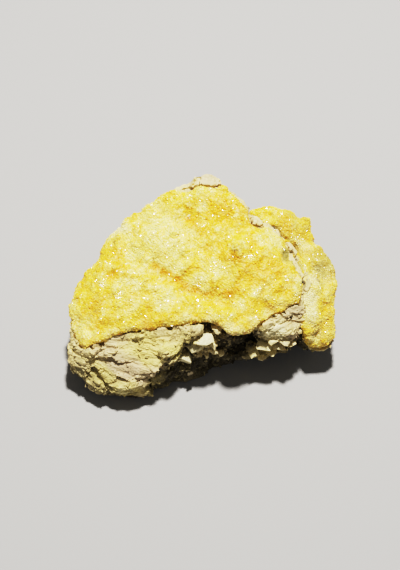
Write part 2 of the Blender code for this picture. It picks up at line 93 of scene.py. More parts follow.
ROCK_CREAM = (0.650, 0.525, 0.255)
ROCK_LEMON = (0.660, 0.540, 0.160)
ROCK_LILAC = (0.465, 0.358, 0.228)
# dull green-brown: partly the rock's own tone, partly painted shade on undersides, low faces and beside the recess
ROCK_OLIVE_AND_SHADE = (0.120, 0.098, 0.036)
# pale rock tone with painted light, for lit faces of blocks and lumps and the pale crest
ROCK_PALE_AND_LIT = (0.800, 0.710, 0.420)
# dark tone of the rock's layer seams and specks, also used for painted shade in creases and a painted shadow under the
# crust's edge
ROCK_SEAM_AND_SHADE = (0.100, 0.076, 0.038)
# painted shade: the near-black tone laid into the rock's recesses and under its overhangs
ROCK_RECESS_SHADE = (0.062, 0.046, 0.020)

FLOOR_TONE = (0.34, 0.335, 0.33)

# ---- where each tone lies: x, y, z of the middle, radius, strength ----

PALE_SPOTS = [
    (-14, 10.5, 35, 8.5, 1.0), (-21, 6.5, 33, 6.5, 0.8), (-13, 3, 33, 6.5, 1.0),
    (-17, 17.5, 36, 6, 0.75), (-7, 9.5, 34, 4.5, 0.7), (-23.5, -5.5, 29, 6.5, 0.6),
    (-24.5, -10.5, 27, 5, 0.55), (-13, -10.5, 29, 4, 0.8), (-0.6, -4.8, 30, 4.5, 0.8),
    (5.5, -2.5, 32, 4.5, 0.6), (-0.5, 25, 39.5, 5, 0.6), (21.5, 9.7, 35.5, 5.5, 0.6),
    (-42, -9.5, 22, 3.2, 0.8), (-41, -18, 20, 5.5, 0.8), (-29, 12.5, 31, 5, 0.6),
    (10.3, -12.5, 28, 2.6, 0.9), (11.2, 4.4, 39.5, 1.8, 0.9), (31, -5.2, 30, 3, 0.8), (20.6, -8.2, 31, 3.5, 0.5),
    (42, -3, 22, 5, 0.5), (40.5, -14, 17.5, 5, 0.5),
]
GOLD_SPOTS = [
    (-29, 2.5, 30, 7, 1.0), (6, 17, 38, 8, 1.0), (20.5, -2.5, 34, 9, 1.0),
    (27, -5.3, 30.5, 5, 0.9), (13, 18.5, 40, 6, 1.0), (5, 4, 34, 6, 0.9), (17, 5, 37, 5, 0.9),
    (-12, -2.5, 30, 4.5, 0.8), (-5, -6, 29.5, 3.5, 0.7), (-3, 14, 35, 4, 0.8),
    (38, 8, 24, 5, 0.8), (42, 1, 23, 5, 0.2), (36, 14, 26, 5, 0.8), (40, -13, 18, 5, 0.15),
    (20, 12, 36, 5, 0.6), (0, 21, 38, 5, 0.5),
    (-35, -15, 24, 4, 0.7), (12.5, -18, 28, 6, 0.5), (14, 12, 37, 5, 0.8),
    (-14, -14, 27, 9, 0.35), (0.5, 12, 35, 5, 0.7), (-33, -6, 26, 4, 0.6),
]
AMBER_SPOTS = [
    (-5.2, 17.0, 35.2, 1.7, 1.0), (-3.0, 14.6, 35, 2.2, 0.8), (-1.5, 11.8, 35, 2.2, 0.5),
    (-16.5, 0.9, 30.5, 1.7, 0.9), (-14.0, -0.6, 30, 1.7, 1.0), (-11.3, -1.8, 30, 1.8, 1.0),
    (-8.6, -3.2, 29.8, 1.9, 1.0), (-5.8, -5.2, 29, 1.9, 0.9), (-2.6, -7.0, 29, 1.8, 0.8),
    (0.7, -8.5, 28.5, 1.8, 0.6), (7.6, -9.4, 30.5, 1.9, 1.0), (10.5, -7.5, 31, 1.6, 0.6),
    (9.6, 1.6, 36.5, 2.0, 0.9), (12.2, 0.8, 36, 1.8, 0.7), (13.6, -1.6, 35, 1.8, 0.5),
    (-36, -10, 25, 2.4, 0.6), (-30, -1.5, 29, 2.0, 0.5), (-24, -2.5, 29, 1.6, 0.4),
    (-18, -19, 25, 2.4, 0.7), (40.5, -15, 17, 3.4, 0.25), (42, -9, 21, 2.4, 0.3),
    (28, 18.5, 30.5, 3, 0.5), (16, 15, 38, 2.0, 0.5), (22, -14, 29, 2.0, 0.4),
    (6, 20, 39, 3.0, 0.35), (13, 19, 39, 2.4, 0.4), (24, -1, 33, 3.5, 0.3), (19, -5, 33, 2.6, 0.3),
]
CREAM_SPOTS = [
    (38.6, 4.2, 24.5, 2.6, 1.0), (35, -7.6, 25, 3.8, 1.0), (35, -12.5, 22.5, 3.2, 0.9),
    (36.5, -2, 25, 3.4, 0.8), (33, 10, 27.5, 3, 0.6), (42, 2.5, 23.5, 3, 0.5),
    (-28.5, 16, 32, 3.2, 0.9), (37, -17, 17, 3, 0.7), (-44, -16, 20, 3, 0.5),
    (-37.5, -21.5, 18.8, 2.4, 0.55), (-31, -20.5, 20.5, 2.6, 0.5), (-25, -19.5, 21.5, 2.2, 0.6),
    (-18.5, -18.3, 23, 2.6, 0.45), (-12.5, -17.3, 24, 2.0, 0.6), (-6, -17, 25.5, 2.2, 0.5),
    (1.5, -18, 26.6, 2.8, 0.6), (8, -20.8, 26.2, 2.8, 0.65), (12, -21.6, 26.2, 2.6, 0.6),
    (16.5, -19.2, 26.2, 2.6, 0.55), (22, -15, 26.8, 2.4, 0.5), (27, -11.8, 28, 2.2, 0.4),
]
# partly painted shade: on the side crust's far side and in small pits
OLIVE_AND_SHADE_SPOTS = [
    (28, 4.2, 33, 2.4, 1.0), (25.5, 15, 31, 3.0, 0.7), (31, 2.5, 30, 2.8, 0.9),
    (14.5, 17.5, 36, 2.2, 0.5), (39, -1, 24, 1.8, 0.5),
    (41, 6, 26, 6, 0.70), (41.5, -5, 22, 5, 0.22), (31, 18, 29, 6, 0.35), (-14, 20.5, 36.5, 2.2, 0.25), (-9, 17, 36, 2.0, 0.25),
]
ROCK_LEMON_SPOTS = [
    (-19, -24, 19.5, 7, 0.8), (-8.5, -23.5, 21, 5, 0.9), (-34.5, -29, 11, 5, 0.7),
    (-26, -34, 8.5, 5, 0.8), (21, -19.5, 14, 3.5, 0.8), (17, -20.5, 10.5, 3, 0.5),
    (-14, -30, 6, 7, 0.6), (38, -17, 8, 6, 0.5), (0, 22, 10, 14, 0.5), (-38, 2, 12, 8, 0.5),
    (30, 18, 14, 8, 0.5), (35, 4, 25.5, 4, 0.7), (36.5, -4, 24.5, 4, 0.5),
]
ROCK_LILAC_SPOTS = [
    (-24.5, -30, 15, 4.2, 0.95), (-29, -27, 16, 3.4, 0.9), (-19, -31, 14, 3.6, 0.9),
    (-14.5, -30, 15, 3, 0.6), (28.6, -19.8, 20.5, 2.2, 1.0), (29.4, -13.6, 24, 4, 0.8),
    (2, 29, 40, 5, 0.70), (33, 8, 27, 3, 0.8), (-33, -24, 18, 4.5, 0.6), (-10, -19, 24, 5, 0.5), (-30, -21, 20, 4, 0.5),
    (20, 25, 20, 7, 0.6), (-25, 15, 18, 8, 0.5), (44, -8, 10, 6, 0.6),
]
# partly painted shade: darker towards the bottom, on undersides and on the face beside the recess
ROCK_OLIVE_AND_SHADE_SPOTS = [
    (-6, -24, 2, 10, 0.9), (8, -18, 3, 11, 0.95), (-18, -31, 1, 7, 0.7), (26, -18, 3, 10, 0.9),
    (12, -14, 12, 8, 0.8), (-12, -26.5, 8, 4.5, 1.0), (-9, -25, 4, 5, 1.0), (-15, -29, 3, 5, 0.9),
    (-42, -20, 3, 6, 0.5), (-33, -31, 6, 5, 0.8), (-41, -28, 9, 4.5, 0.8), (-38, -29, 6, 5, 0.8), (-22, -33, 4, 4, 0.6), (-32, -32, 10, 5, 0.25), (10, 28, 4, 14, 0.4), (38, -16, 5, 7, 0.7),
]
# x, y, z, width, depth, height, turn, tone; a tone above zero lays on the pale tone with painted light, below zero the
# dark painted-shade tone
ROCK_BLOCKS = [
    (0.4, -21.3, 20.6, 6.0, 4.4, 3.0, 0.1, 0.90), (-2.9, -22.3, 17.2, 3.8, 4.0, 2.8, 0.6, 0.7),
    (-6.8, -24.3, 12.6, 5.6, 4.2, 3.0, -0.2, 0.85), (3.3, -21.8, 14.6, 2.4, 3.8, 1.8, 0.4, 0.3),
    (6.0, -21.4, 12.4, 2.0, 3.2, 1.4, 0.0, 0.2), (4.6, -18.4, 23.2, 4.6, 4.6, 0.9, 0.1, 0.2),
    (3.2, -22.0, 17.8, 2.4, 3.4, 1.6, 0.5, 0.35), (0.6, -21.6, 11.5, 2.0, 3.2, 1.4, 0.2, 0.2),
    (20.2, -20.9, 16.6, 5.4, 4.4, 1.5, -0.2, 0.45), (16.8, -21.9, 12.8, 3.6, 4.0, 1.4, 0.2, 0.3),
    (25.6, -20.7, 15.2, 5.0, 4.2, 1.5, 0.3, 0.4), (29.0, -19.7, 16.2, 3.6, 4.0, 1.3, 0.2, 0.3),
    (22.6, -21.7, 13.2, 3.6, 4.0, 1.2, 0.1, 0.25), (19.6, -21.9, 11.0, 2.6, 3.6, 1.0, -0.3, 0.2),
    (27.0, -20.6, 18.6, 4.0, 3.6, 1.2, 0.0, 0.35), (23.0, -20.4, 18.9, 3.4, 3.6, 1.2, 0.3, 0.3),
    (37.6, -17.4, 10.0, 5.4, 3.4, 3.6, 0.5, -0.6),
]
# painted light on lit rock faces, with a faint pale crest at the back
ROCK_PALE_AND_LIT_SPOTS = [
    (23, -19.7, 22, 4.0, 0.75), (-26, -34, 8.5, 3.0, 0.35), (0, 30, 40, 6, 0.08), (7, 27, 39, 3, 0.1),
]
RUBBLE_SPOTS = [
    (20, -21, 15, 5, 1.0), (26, -20.5, 14.5, 5, 1.0), (16.6, -22, 11, 3.5, 1.0), (30, -19, 17, 3, 1.0),
    (0, -22, 17, 4, 0.6), (-6, -25, 11, 3, 0.6),
]
CALM_SPOTS = [
    (-30, -27, 14, 13, 1.0), (-20, -29, 14, 11, 1.0), (-11, -27, 17, 6, 0.8), (0, 30, 40, 9, 1.0),
    (-42, -24, 13, 8, 1.0), (-31, -32, 10, 6, 0.8),
]
PEAK_SPOTS = [(0, 30, 40, 9, 1.0), (-6, 29, 39, 5, 1.0), (7, 27, 39, 5, 1.0)]
SHADE_SPOTS = [
    (-13.1, -28.2, 2.1, 2.4, 0.8), (-9.7, -25.8, 6.8, 3.0, 1.0), (-6.3, -23.2, 10.3, 2.6, 0.9),
    (-4.6, -21.6, 14.3, 2.2, 0.9), (-8.1, -26.0, 0.9, 3.0, 0.8), (-12.5, -27.5, 5.5, 2.2, 1.0),
    (-15.5, -30.2, 3.5, 2.0, 0.9), (-17.5, -31.0, 2.5, 1.8, 0.8), (-1.5, -21, 11, 3.0, 0.8),
]
# painted shadow: a dark line on the rock just under the crust's left front edge
EDGE_SHADOW_SPOTS = [
    (-42.0, -22.3, 16.8, 0.9, 0.9), (-39.5, -21.8, 17.4, 0.8, 1.0), (-37.0, -21.0, 18.2, 0.9, 1.0),
    (-34.5, -20.2, 18.8, 0.8, 1.0), (-32.0, -19.4, 19.6, 0.9, 1.0), (-29.5, -18.6, 20.3, 0.8, 0.9),
]
SMOOTH_SPOTS = [(-40, -18, 20, 7, 1.0), (-37, -16, 21, 5, 0.6), (35.3, -10, 24, 5, 0.2)]
SPOT_WANDER = 1.7
GRAIN_JOINT = 0.84
PALE_HEADS = 0.45
GOLD_HEADS = 0.40
LUMP_GRAIN = 2.5
LUMP_CROWN = 0.40
LUMP_GAP = 0.30
LUMP_RELIEF = 1.2

# ---- surfaces ----

ROCK_SKIN = 0.47
BED_COARSE = 1.0
BED_SKIN = 0.50
CRUST_SKIN = 0.35
CRUST_BACKING = {"sulfur_crust": (0.0, 0.6, -1.0), "side_sulfur_crust": (-0.8, 0.4, -0.8)}
CRUST_ROOM = {"sulfur_crust": -0.05, "side_sulfur_crust": 0.10}
EASE_STEP = 0.60
EASE_BACK = 0.63
CRUST_EASE = 18
LUMP_SIZE = 4.8
LUMP_HEIGHT = 0.55
CRUST_FEATURES = [
    (11.2, 3.6, 38, 2.7, 1.5), (-4.6, 17.2, 35.5, 2.6, -0.7), (-29, 12, 31, 2.4, 1.2),
    (-13, -1.4, 30, 3.0, -1.0), (-8, -3.6, 29.5, 3.0, -1.0), (-2, -7.0, 29, 3.0, -0.8),
    (28, 4.2, 33, 2.4, -1.2), (10.3, -12.5, 28, 2.0, 0.8),
]
ROCK_EASE = 2
ROCK_FEATURES = [(-6.5, 30.5, 39.5, 5.0, -2.2), (1.8, 31.5, 40.5, 2.6, 0.6)]
LAYER_NORMAL = np.array((-0.10, -0.32, 0.94)) / math.hypot(0.10, 0.32, 0.94)
LAYER_SIZES = [(3.8, 1.4, 9.0), (1.7, 0.75, 5.0), (0.9, 0.35, 3.0)]
LAYER_PRESS = 3.2
FAN_CORNER = np.array((-53.0, -19.5, 17.0))
FAN_REACH = 30.0
FAN_END = (-12.0, 6.0)
FAN_NORMAL = np.array((0.0, 0.848, 0.530))
CLIMB_NORMAL = np.array((-0.45, 0.757, 0.473))
BACK_END = (-16.0, -4.0)
CRUST_LIP = 1.5
BLOCK_PARTS = 3
BLOCK_ROOT = (0.0, 5.0, -2.5)
BACK_LIP = 0.3
SEAM_ROUTE = [
    (33.5, 4.0, 0.8), (35.7, 0.8, 1.2), (37.0, -1.5, 1.3), (36.4, -5.0, 1.5), (35.2, -9.0, 1.5),
    (34.8, -12.5, 1.2), (35.2, -15.5, 0.9),
]
SEAM_LUMPS = 420
SEAM_DROP = 0.7
SEAM_COVER = 0.35
SEAM_FRONT = [
    (33.8, -15.0, 19.5, 1.6), (34.9, -16.2, 18.0, 2.0), (35.4, -17.0, 15.6, 2.1),
    (36.0, -17.6, 13.2, 2.0), (34.6, -15.8, 14.0, 1.9), (27.5, 11.0, 30.0, 1.4),
    (23.5, 14.2, 31.0, 1.4), (31.2, 7.2, 28.4, 1.3),
]
KEEP_OUT = 0.05
SHELTER_CELL = 1.2
SHELTER_WAYS = 20

# ---- crystals: width, least spacing, number of trials, how far they stand out, lean ----

CRYSTAL_SIZES = [
    ("large", 1.9, 1.60, 12000, 0.14, 0.08),
    ("middle", 1.35, 1.05, 36000, 0.14, 0.12),
    ("small", 1.00, 0.72, 80000, 0.14, 0.15),
]
PROUD_SHARE = 0.04
HEAD_FLATNESS = 1.0
GLINT_CRYSTALS = (0.60, 0.52, 36000, 0.12, 0.34)
GLINT_CLUSTERS = (3.4, 0.35)
# places where sparkling crystals cluster; their crystals are also given a painted pale highlight tone
GLINT_SPOTS = [
    (-0.2, 14.6, 35.6, 2.2, 1.0), (15.3, 2.3, 35.9, 1.8, 1.0), (2.7, -1.6, 32.2, 1.8, 1.0),
    (-0.6, -4.6, 30.1, 2.2, 1.0), (4.4, 0.2, 34.4, 1.6, 1.0), (17.6, -9.0, 32.2, 1.8, 1.0),
    (31.9, -8.0, 29.3, 2.2, 1.0), (-21.1, -6.9, 30.7, 1.6, 0.9), (-33.6, -3.8, 28.2, 2.2, 1.0),
    (-33.5, -11.8, 25.4, 1.6, 1.0), (-28.8, -7.9, 28.5, 1.5, 1.0), (-3.9, 23.8, 38.8, 1.6, 0.9),
    (31.5, 12.5, 29.0, 2.0, 1.0), (40.0, -14.0, 18.5, 1.6, 0.9), (12.0, -14.5, 28.5, 1.6, 0.9),
]
GLINT_TURN = np.array((0.03, -0.17, 0.985))
GLINT_LEAN = 0.05


# ======================================================================
# Numbers: meshes as arrays, soft noise and grain cells
# ======================================================================

rng = np.random.default_rng(1609)
LATTICE = rng.random((32, 32, 32))
GRAIN_LATTICE = rng.random((16, 16, 16, 4))


def soft_noise(points, size, shift=0.0):
    """Smooth noise from -1 to 1 whose lumps are about one size across."""
    q = points / size + shift
    base = np.floor(q).astype(int)
    part = q - base
    part = part * part * (3 - 2 * part)
    total = np.zeros(len(points))
    for corner in itertools.product((0, 1), repeat=3):
        weight = np.ones(len(points))
        for axis in range(3):
            weight *= part[:, axis] if corner[axis] else 1 - part[:, axis]
        i, j, k = ((base + corner) % 32).T
        total += weight * LATTICE[i, j, k]
    return total * 2 - 1


def rough_noise(points, size, octaves=3, shift=0.0):
    """Layers of soft noise, each half the size and half the height of the last."""
    total = np.zeros(len(points))
    for octave in range(octaves):
        total += soft_noise(points, size / 2**octave, shift + 7.3 * octave) / 2**octave
    return total


def grain_cells(points, size, shift=0.0):
    """Distance to the nearest and the next grain middle, and the nearest grain's own number."""
    q = points / size + shift
    base = np.floor(q).astype(int)
    nearest = np.full(len(points), 9.0)
    following = np.full(len(points), 9.0)
    own = np.zeros(len(points))
    for step in itertools.product((-1, 0, 1), repeat=3):
        cell = base + step
        i, j, k = (cell % 16).T
        jitter = GRAIN_LATTICE[i, j, k]
        distance = np.linalg.norm(cell + jitter[:, :3] - q, axis=1)
        closer = distance < nearest
        following = np.where(closer, nearest, np.minimum(following, distance))
        own = np.where(closer, jitter[:, 3], own)
        nearest = np.where(closer, distance, nearest)
    return nearest, following, own


def broken_cells(points, size, shift=0.0):
    """Height of flat facets that tilt at random, one to a cell, and the gap to the next cell."""
    q = points / size + shift
    base = np.floor(q).astype(int)
    nearest = np.full(len(points), 9.0)
    following = np.full(len(points), 9.0)
    height = np.zeros(len(points))
    for step in itertools.product((-1, 0, 1), repeat=3):
        cell = base + step
        i, j, k = (cell % 16).T
        away = q - cell - GRAIN_LATTICE[i, j, k, :3]
        tilt = GRAIN_LATTICE[j, k, i, :3] * 2 - 1
        distance = np.linalg.norm(away, axis=1)
        closer = distance < nearest
        following = np.where(closer, nearest, np.minimum(following, distance))
        own = (away * tilt).sum(1) + 0.35 * (GRAIN_LATTICE[k, i, j, 3] - 0.5)
        height = np.where(closer, own, height)
        nearest = np.where(closer, distance, nearest)
    return height * size, (following - nearest) * size


def smooth_step(low, high, value):
    t = np.clip((value - low) / (high - low), 0, 1)
    return t * t * (3 - 2 * t)


def mesh_arrays(mesh):
    """Points in millimetres and the corners of the triangles."""
    mesh.calc_loop_triangles()
    points = np.empty(len(mesh.vertices) * 3, np.float32)
    mesh.vertices.foreach_get("co", points)
    corners = np.empty(len(mesh.loop_triangles) * 3, np.int32)
    mesh.loop_triangles.foreach_get("vertices", corners)
    return points.reshape(-1, 3).astype(float) / MM, corners.reshape(-1, 3)


def triangle_normals(points, corners):
    a, b, c = points[corners[:, 0]], points[corners[:, 1]], points[corners[:, 2]]
    return np.cross(b - a, c - a) / 2


def point_normals(points, corners):
    flat = triangle_normals(points, corners)
    total = np.zeros_like(points)
    for column in range(3):
        for axis in range(3):
            total[:, axis] += np.bincount(corners[:, column], flat[:, axis], len(points))
    length = np.linalg.norm(total, axis=1, keepdims=True)
    return total / np.maximum(length, 1e-9)


def eased(points, corners, rounds, back=0.0):
    """Moves every point towards the middle of its neighbours, then part of the way back."""
    pairs = np.concatenate([corners[:, [0, 1]], corners[:, [1, 2]], corners[:, [2, 0]]])
    pairs = np.unique(np.sort(pairs, axis=1), axis=0)
    ends = np.concatenate([pairs, pairs[:, ::-1]])
    count = np.bincount(ends[:, 0], minlength=len(points))[:, None]
    out = points.copy()
    for _ in range(rounds):
        for step in (EASE_STEP, -back) if back else (EASE_STEP,):
            total = [np.bincount(ends[:, 0], out[ends[:, 1], a], len(points)) for a in range(3)]
            out = out + step * (np.stack(total, axis=1) / np.maximum(count, 1) - out)
    return out


def spot_mask(points, spots, wander=SPOT_WANDER, edge=0.45):
    """How much each point lies in these spots, with edges that wander."""
    moved = points + wander * np.stack(
        [rough_noise(points, 6.0, 3, 3.1 + 5.7 * axis) for axis in range(3)], axis=1
    )
    mask = np.zeros(len(points))
    for x, y, z, radius, strength in spots:
        distance = np.linalg.norm(moved - (x, y, z), axis=1) / radius
        mask = np.maximum(mask, strength * smooth_step(1 + edge, 1 - edge, distance))
    return mask


# ======================================================================
# Meshes
# ======================================================================


def new_piece(name, points, corners, marks, material, nodes=(), smooth=True):
    """A piece of the specimen from arrays, held in the CAD box, riding the one body."""
    low = np.array(SOLIDS_BOX[0]) / MM + KEEP_OUT
    high = np.array(SOLIDS_BOX[1]) / MM - KEEP_OUT
    low[2] = 0.0
    mesh = bpy.data.meshes.new(name)
    mesh.vertices.add(len(points))
    mesh.vertices.foreach_set("co", (np.clip(points, low, high) * MM).astype(np.float32).ravel())
    mesh.loops.add(len(corners) * 3)
    mesh.loops.foreach_set("vertex_index", corners.astype(np.int32).ravel())
    mesh.polygons.add(len(corners))
    mesh.polygons.foreach_set("loop_start", np.arange(0, len(corners) * 3, 3, dtype=np.int32))
    mesh.update(calc_edges=True)
    mesh.validate()
    mesh.polygons.foreach_set("use_smooth", np.full(len(mesh.polygons), smooth))
    for mark, values in marks.items():
        layer = mesh.attributes.new(mark, "FLOAT", "POINT")
        layer.data.foreach_set("value", values.astype(np.float32))
    mesh.materials.append(material)
    piece = bpy.data.objects.new(name, mesh)
    bpy.context.scene.collection.objects.link(piece)
    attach(piece, BODY)
    for node in nodes:
        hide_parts(node)
    return piece


def even_skin(points, corners, voxel):
    """One even skin of small triangles round all of these closed solids."""
    mesh = bpy.data.meshes.new("skin")
    mesh.from_pydata(points.tolist(), [], corners.tolist())
    holder = bpy.data.objects.new("skin", mesh)
    bpy.context.scene.collection.objects.link(holder)
    remesh = holder.modifiers.new("even", "REMESH")
    remesh.mode = "VOXEL"
    remesh.voxel_size = voxel
    graph = bpy.context.evaluated_depsgraph_get()
    even = bpy.data.meshes.new_from_object(holder.evaluated_get(graph))
    points, corners = mesh_arrays(even)
    bpy.data.objects.remove(holder)
    return points * MM, corners


def welded_node(node):
    """The solid of one CAD node, with its points joined where they meet."""
    points, corners = mesh_arrays(frame["nodes"][node].data)
    welded, number = np.unique(np.round(points, 3), axis=0, return_inverse=True)
    return welded, number.ravel()[corners]


def tone_marks(points):
    """The crusts' tones at each point."""
    return {
        "pale": spot_mask(points, PALE_SPOTS),
        "gold": spot_mask(points, GOLD_SPOTS),
        "amber": spot_mask(points, AMBER_SPOTS, 1.0),
        "cream": spot_mask(points, CREAM_SPOTS, 1.4),
        "olive_and_shade": spot_mask(points, OLIVE_AND_SHADE_SPOTS, 1.0),
    }


def hollow_mark(points, corners, normals, rounds, reach):
    """How deep each point lies in a hollow, from 0 to 1."""
    wide = eased(points, corners, rounds)
    return np.clip(((wide - points) * normals).sum(1) / reach, -1, 1)


# ---- crystal shapes ----


def corners_inside(planes):
    """Corners of the solid inside all these planes, each a normal and a distance."""
    found = []
    for trio in itertools.combinations(range(len(planes)), 3):
        rows = planes[list(trio)]
        if abs(np.linalg.det(rows[:, :3])) < 1e-4:
            continue
        corner = np.linalg.solve(rows[:, :3], rows[:, 3])
        inside = np.all(planes[:, :3] @ corner <= planes[:, 3] + 1e-6)
        if inside and all(np.linalg.norm(corner - other) > 1e-3 for other in found):
            found.append(corner)
    return np.array(found)


def closed_hull(corners):
    """The hull of a few corners as points and outward triangles."""
    work = bmesh.new()
    for corner in corners:
        work.verts.new(corner)
    bmesh.ops.convex_hull(work, input=work.verts)
    bmesh.ops.triangulate(work, faces=work.faces)
    work.normal_update()
    work.verts.index_update()
    points = np.array([v.co[:] for v in work.verts])
    triangles = np.array([[v.index for v in f.verts] for f in work.faces])
    work.free()
    middle = points.mean(0)
    normals = triangle_normals(points, triangles)
    outward = ((points[triangles].mean(1) - middle) * normals).sum(1) > 0
    triangles[~outward] = triangles[~outward][:, ::-1]
    return points, triangles


def tilted_face(turn, slope, reach, level):
    """A plane that faces outward at this turn and slope, through a point at this reach and level."""
    normal = np.array(
        (math.cos(turn) * math.sin(slope), math.sin(turn) * math.sin(slope), math.cos(slope))
    )
    point = np.array((math.cos(turn) * reach, math.sin(turn) * reach, level))
    return (*normal, normal @ point)


def sulfur_form(variant):
    """The head of a sulfur crystal: low pyramid faces round a small flat top, on steep faces."""
    pick = np.random.default_rng(400 + variant)
    planes = [(0.0, 0.0, 1.0, 0.5), (0.0, 0.0, -1.0, 0.5)]
    opening = pick.uniform(0.60, 0.95)
    for side_x, side_y in itertools.product((-1, 1), repeat=2):
        turn = math.atan2(side_y * opening, side_x * 1.0)
        slope = math.radians(pick.uniform(16, 36))
        planes.append(tilted_face(turn, slope, pick.uniform(0.02, 0.16), 0.5))
        steep = math.radians(pick.uniform(60, 74))
        planes.append(tilted_face(turn, steep, pick.uniform(0.40, 0.52), 0.1))
    return closed_hull(corners_inside(np.array(planes)))


def blocky_form(variant):
    """A grain with a broad flat head and sides that meet at odd angles."""
    pick = np.random.default_rng(700 + variant)
    planes = [(0.0, 0.0, -1.0, 0.5), tilted_face(pick.uniform(0, 6.28), 0.03, 0.0, 0.45)]
    turn = 0.0
    while turn < 2 * math.pi - 0.5:
        slope = math.radians(pick.uniform(16, 38))
        planes.append(tilted_face(turn, slope, pick.uniform(0.15, 0.34), 0.42))
        planes.append(tilted_face(turn + 0.4, math.radians(68), pick.uniform(0.42, 0.52), 0.1))
        turn += pick.uniform(0.9, 1.5)
    return closed_hull(corners_inside(np.array(planes)))


def shard_form(variant):
    """A splinter of rock: flat, with sharp broken edges."""
    pick = np.random.default_rng(900 + variant)
    corners = pick.normal(0, 1, (9, 3))
    corners /= np.linalg.norm(corners, axis=1, keepdims=True)
    return closed_hull(corners * (0.55, 0.42, 0.26) * pick.uniform(0.75, 1.1, (9, 1)))


def turned_frame(normal, lean, pick):
    """Three axes: the third leans a little from the normal, the first is at any turn."""
    up = normal + pick.normal(0, lean, 3)
    up /= np.linalg.norm(up)
    side = np.cross(up, pick.normal(0, 1, 3))
    side /= np.linalg.norm(side)
    return np.stack([side, np.cross(up, side), up])


def seats_on(points, corners, trials, spacing, pick, allowed):
    """Places on a skin at least one spacing apart, with their normals."""
    flat = triangle_normals(points, corners)
    area = np.linalg.norm(flat, axis=1)
    usable = allowed(points[corners].mean(1), flat / np.maximum(area, 1e-9)[:, None])
    share = np.cumsum(area * usable)
    chosen = np.searchsorted(share, pick.random(trials) * share[-1])
    a, b = pick.random((2, trials))
    over = a + b > 1
    a, b = np.where(over, 1 - a, a)[:, None], np.where(over, 1 - b, b)[:, None]
    p, q, r = (points[corners[chosen, i]] for i in range(3))
    places = p + a * (q - p) + b * (r - p)
    kept, cells = [], {}
    steps = list(itertools.product((-1, 0, 1), repeat=3))
    keys = np.floor(places / spacing).astype(int).tolist()
    for index, ((x, y, z), (i, j, k)) in enumerate(zip(places.tolist(), keys)):
        free = True
        for di, dj, dk in steps:
            for ox, oy, oz in cells.get((i + di, j + dj, k + dk), ()):
                if (x - ox) ** 2 + (y - oy) ** 2 + (z - oz) ** 2 < spacing**2:
                    free = False
                    break
            if not free:
                break
        if free:
            cells.setdefault((i, j, k), []).append((x, y, z))
            kept.append(index)
    normals = flat[chosen[kept]] / area[chosen[kept]][:, None]
    return places[kept], normals


def joined_grains(forms, places, frames, sizes, proud):
    """Many small solids as one set of arrays, with each point's height and own number."""
    points, corners, height, number = [], [], [], []
    start = 0
    for index, (place, axes, size) in enumerate(zip(places, frames, sizes)):
        shape, triangles = forms[index % len(forms)]
        lifted = shape * size
        lifted[:, 2] += proud[index] - lifted[:, 2].max()
        points.append(lifted @ axes + place)
        corners.append(triangles + start)
        height.append(np.clip(lifted[:, 2] / max(lifted[:, 2].max(), 0.05), 0, 1))
        number.append(np.full(len(shape), index))
        start += len(shape)
    return (
        np.concatenate(points),
        np.concatenate(corners),
        np.concatenate(height),
        np.concatenate(number),
    )


# ======================================================================
# Materials
# ======================================================================


class Bench:
    """Short ways to lay nodes on one tree."""

    def __init__(self, tree):
        self.tree = tree

    def put(self, kind, **settings):
        node = self.tree.nodes.new(kind)
        for name, value in settings.items():
            setattr(node, name, value)
        return node

    def feed(self, socket, source):
        if isinstance(source, bpy.types.NodeSocket):
            self.tree.links.new(source, socket)
        elif isinstance(source, tuple) and len(source) == 3 and socket.type == "RGBA":
            socket.default_value = (*source, 1.0)
        else:
            socket.default_value = source

    def sum(self, operation, first, second=0.0, clamp=False):
        node = self.put("ShaderNodeMath", operation=operation, use_clamp=clamp)
        self.feed(node.inputs[0], first)
        self.feed(node.inputs[1], second)
        return node.outputs[0]

    def blend(self, share, first, second, way="MIX"):
        node = self.put("ShaderNodeMix", data_type="RGBA", blend_type=way)
        self.feed(node.inputs[0], share)
        self.feed(node.inputs[6], first)
        self.feed(node.inputs[7], second)
        return node.outputs[2]

    def spread(self, value, low, high, to_low=0.0, to_high=1.0):
        node = self.put("ShaderNodeMapRange", clamp=True)
        for index, part in enumerate((value, low, high, to_low, to_high)):
            self.feed(node.inputs[index], part)
        return node.outputs[0]

    def mark(self, name):
        return self.put("ShaderNodeAttribute", attribute_name=name).outputs["Fac"]

    def place(self):
        return self.put("ShaderNodeTexCoord").outputs["Object"]

    def mottle(self, place, size, detail=3.0, roughness=0.6):
        """Noise whose lumps are about this many millimetres across."""
        node = self.put("ShaderNodeTexNoise", noise_dimensions="3D")
        self.feed(node.inputs["Vector"], place)
        self.feed(node.inputs["Scale"], 1.0 / (size * MM))
        self.feed(node.inputs["Detail"], detail)
        self.feed(node.inputs["Roughness"], roughness)
        return node.outputs["Fac"]

    def cells(self, place, size, feature="F1"):
        node = self.put("ShaderNodeTexVoronoi", feature=feature)
        self.feed(node.inputs["Vector"], place)
        self.feed(node.inputs["Scale"], 1.0 / (size * MM))
        return node


def new_group(name, inputs, outputs):
    """A shader node group with named sockets, its bench, and its two end nodes."""
    tree = bpy.data.node_groups.new(name, "ShaderNodeTree")
    for label, kind, value in inputs:
        socket = tree.interface.new_socket(label, in_out="INPUT", socket_type=kind)
        if value is not None:
            socket.default_value = value
    for label, kind in outputs:
        tree.interface.new_socket(label, in_out="OUTPUT", socket_type=kind)
    bench = Bench(tree)
    return tree, bench, bench.put("NodeGroupInput").outputs, bench.put("NodeGroupOutput").inputs


def use_group(bench, tree, **values):
    """Places a group on a bench and feeds its inputs; underscores stand for spaces."""
    node = bench.put("ShaderNodeGroup", node_tree=tree)
    for name, value in values.items():
        bench.feed(node.inputs[name.replace("_", " ")], value)
    return node.outputs


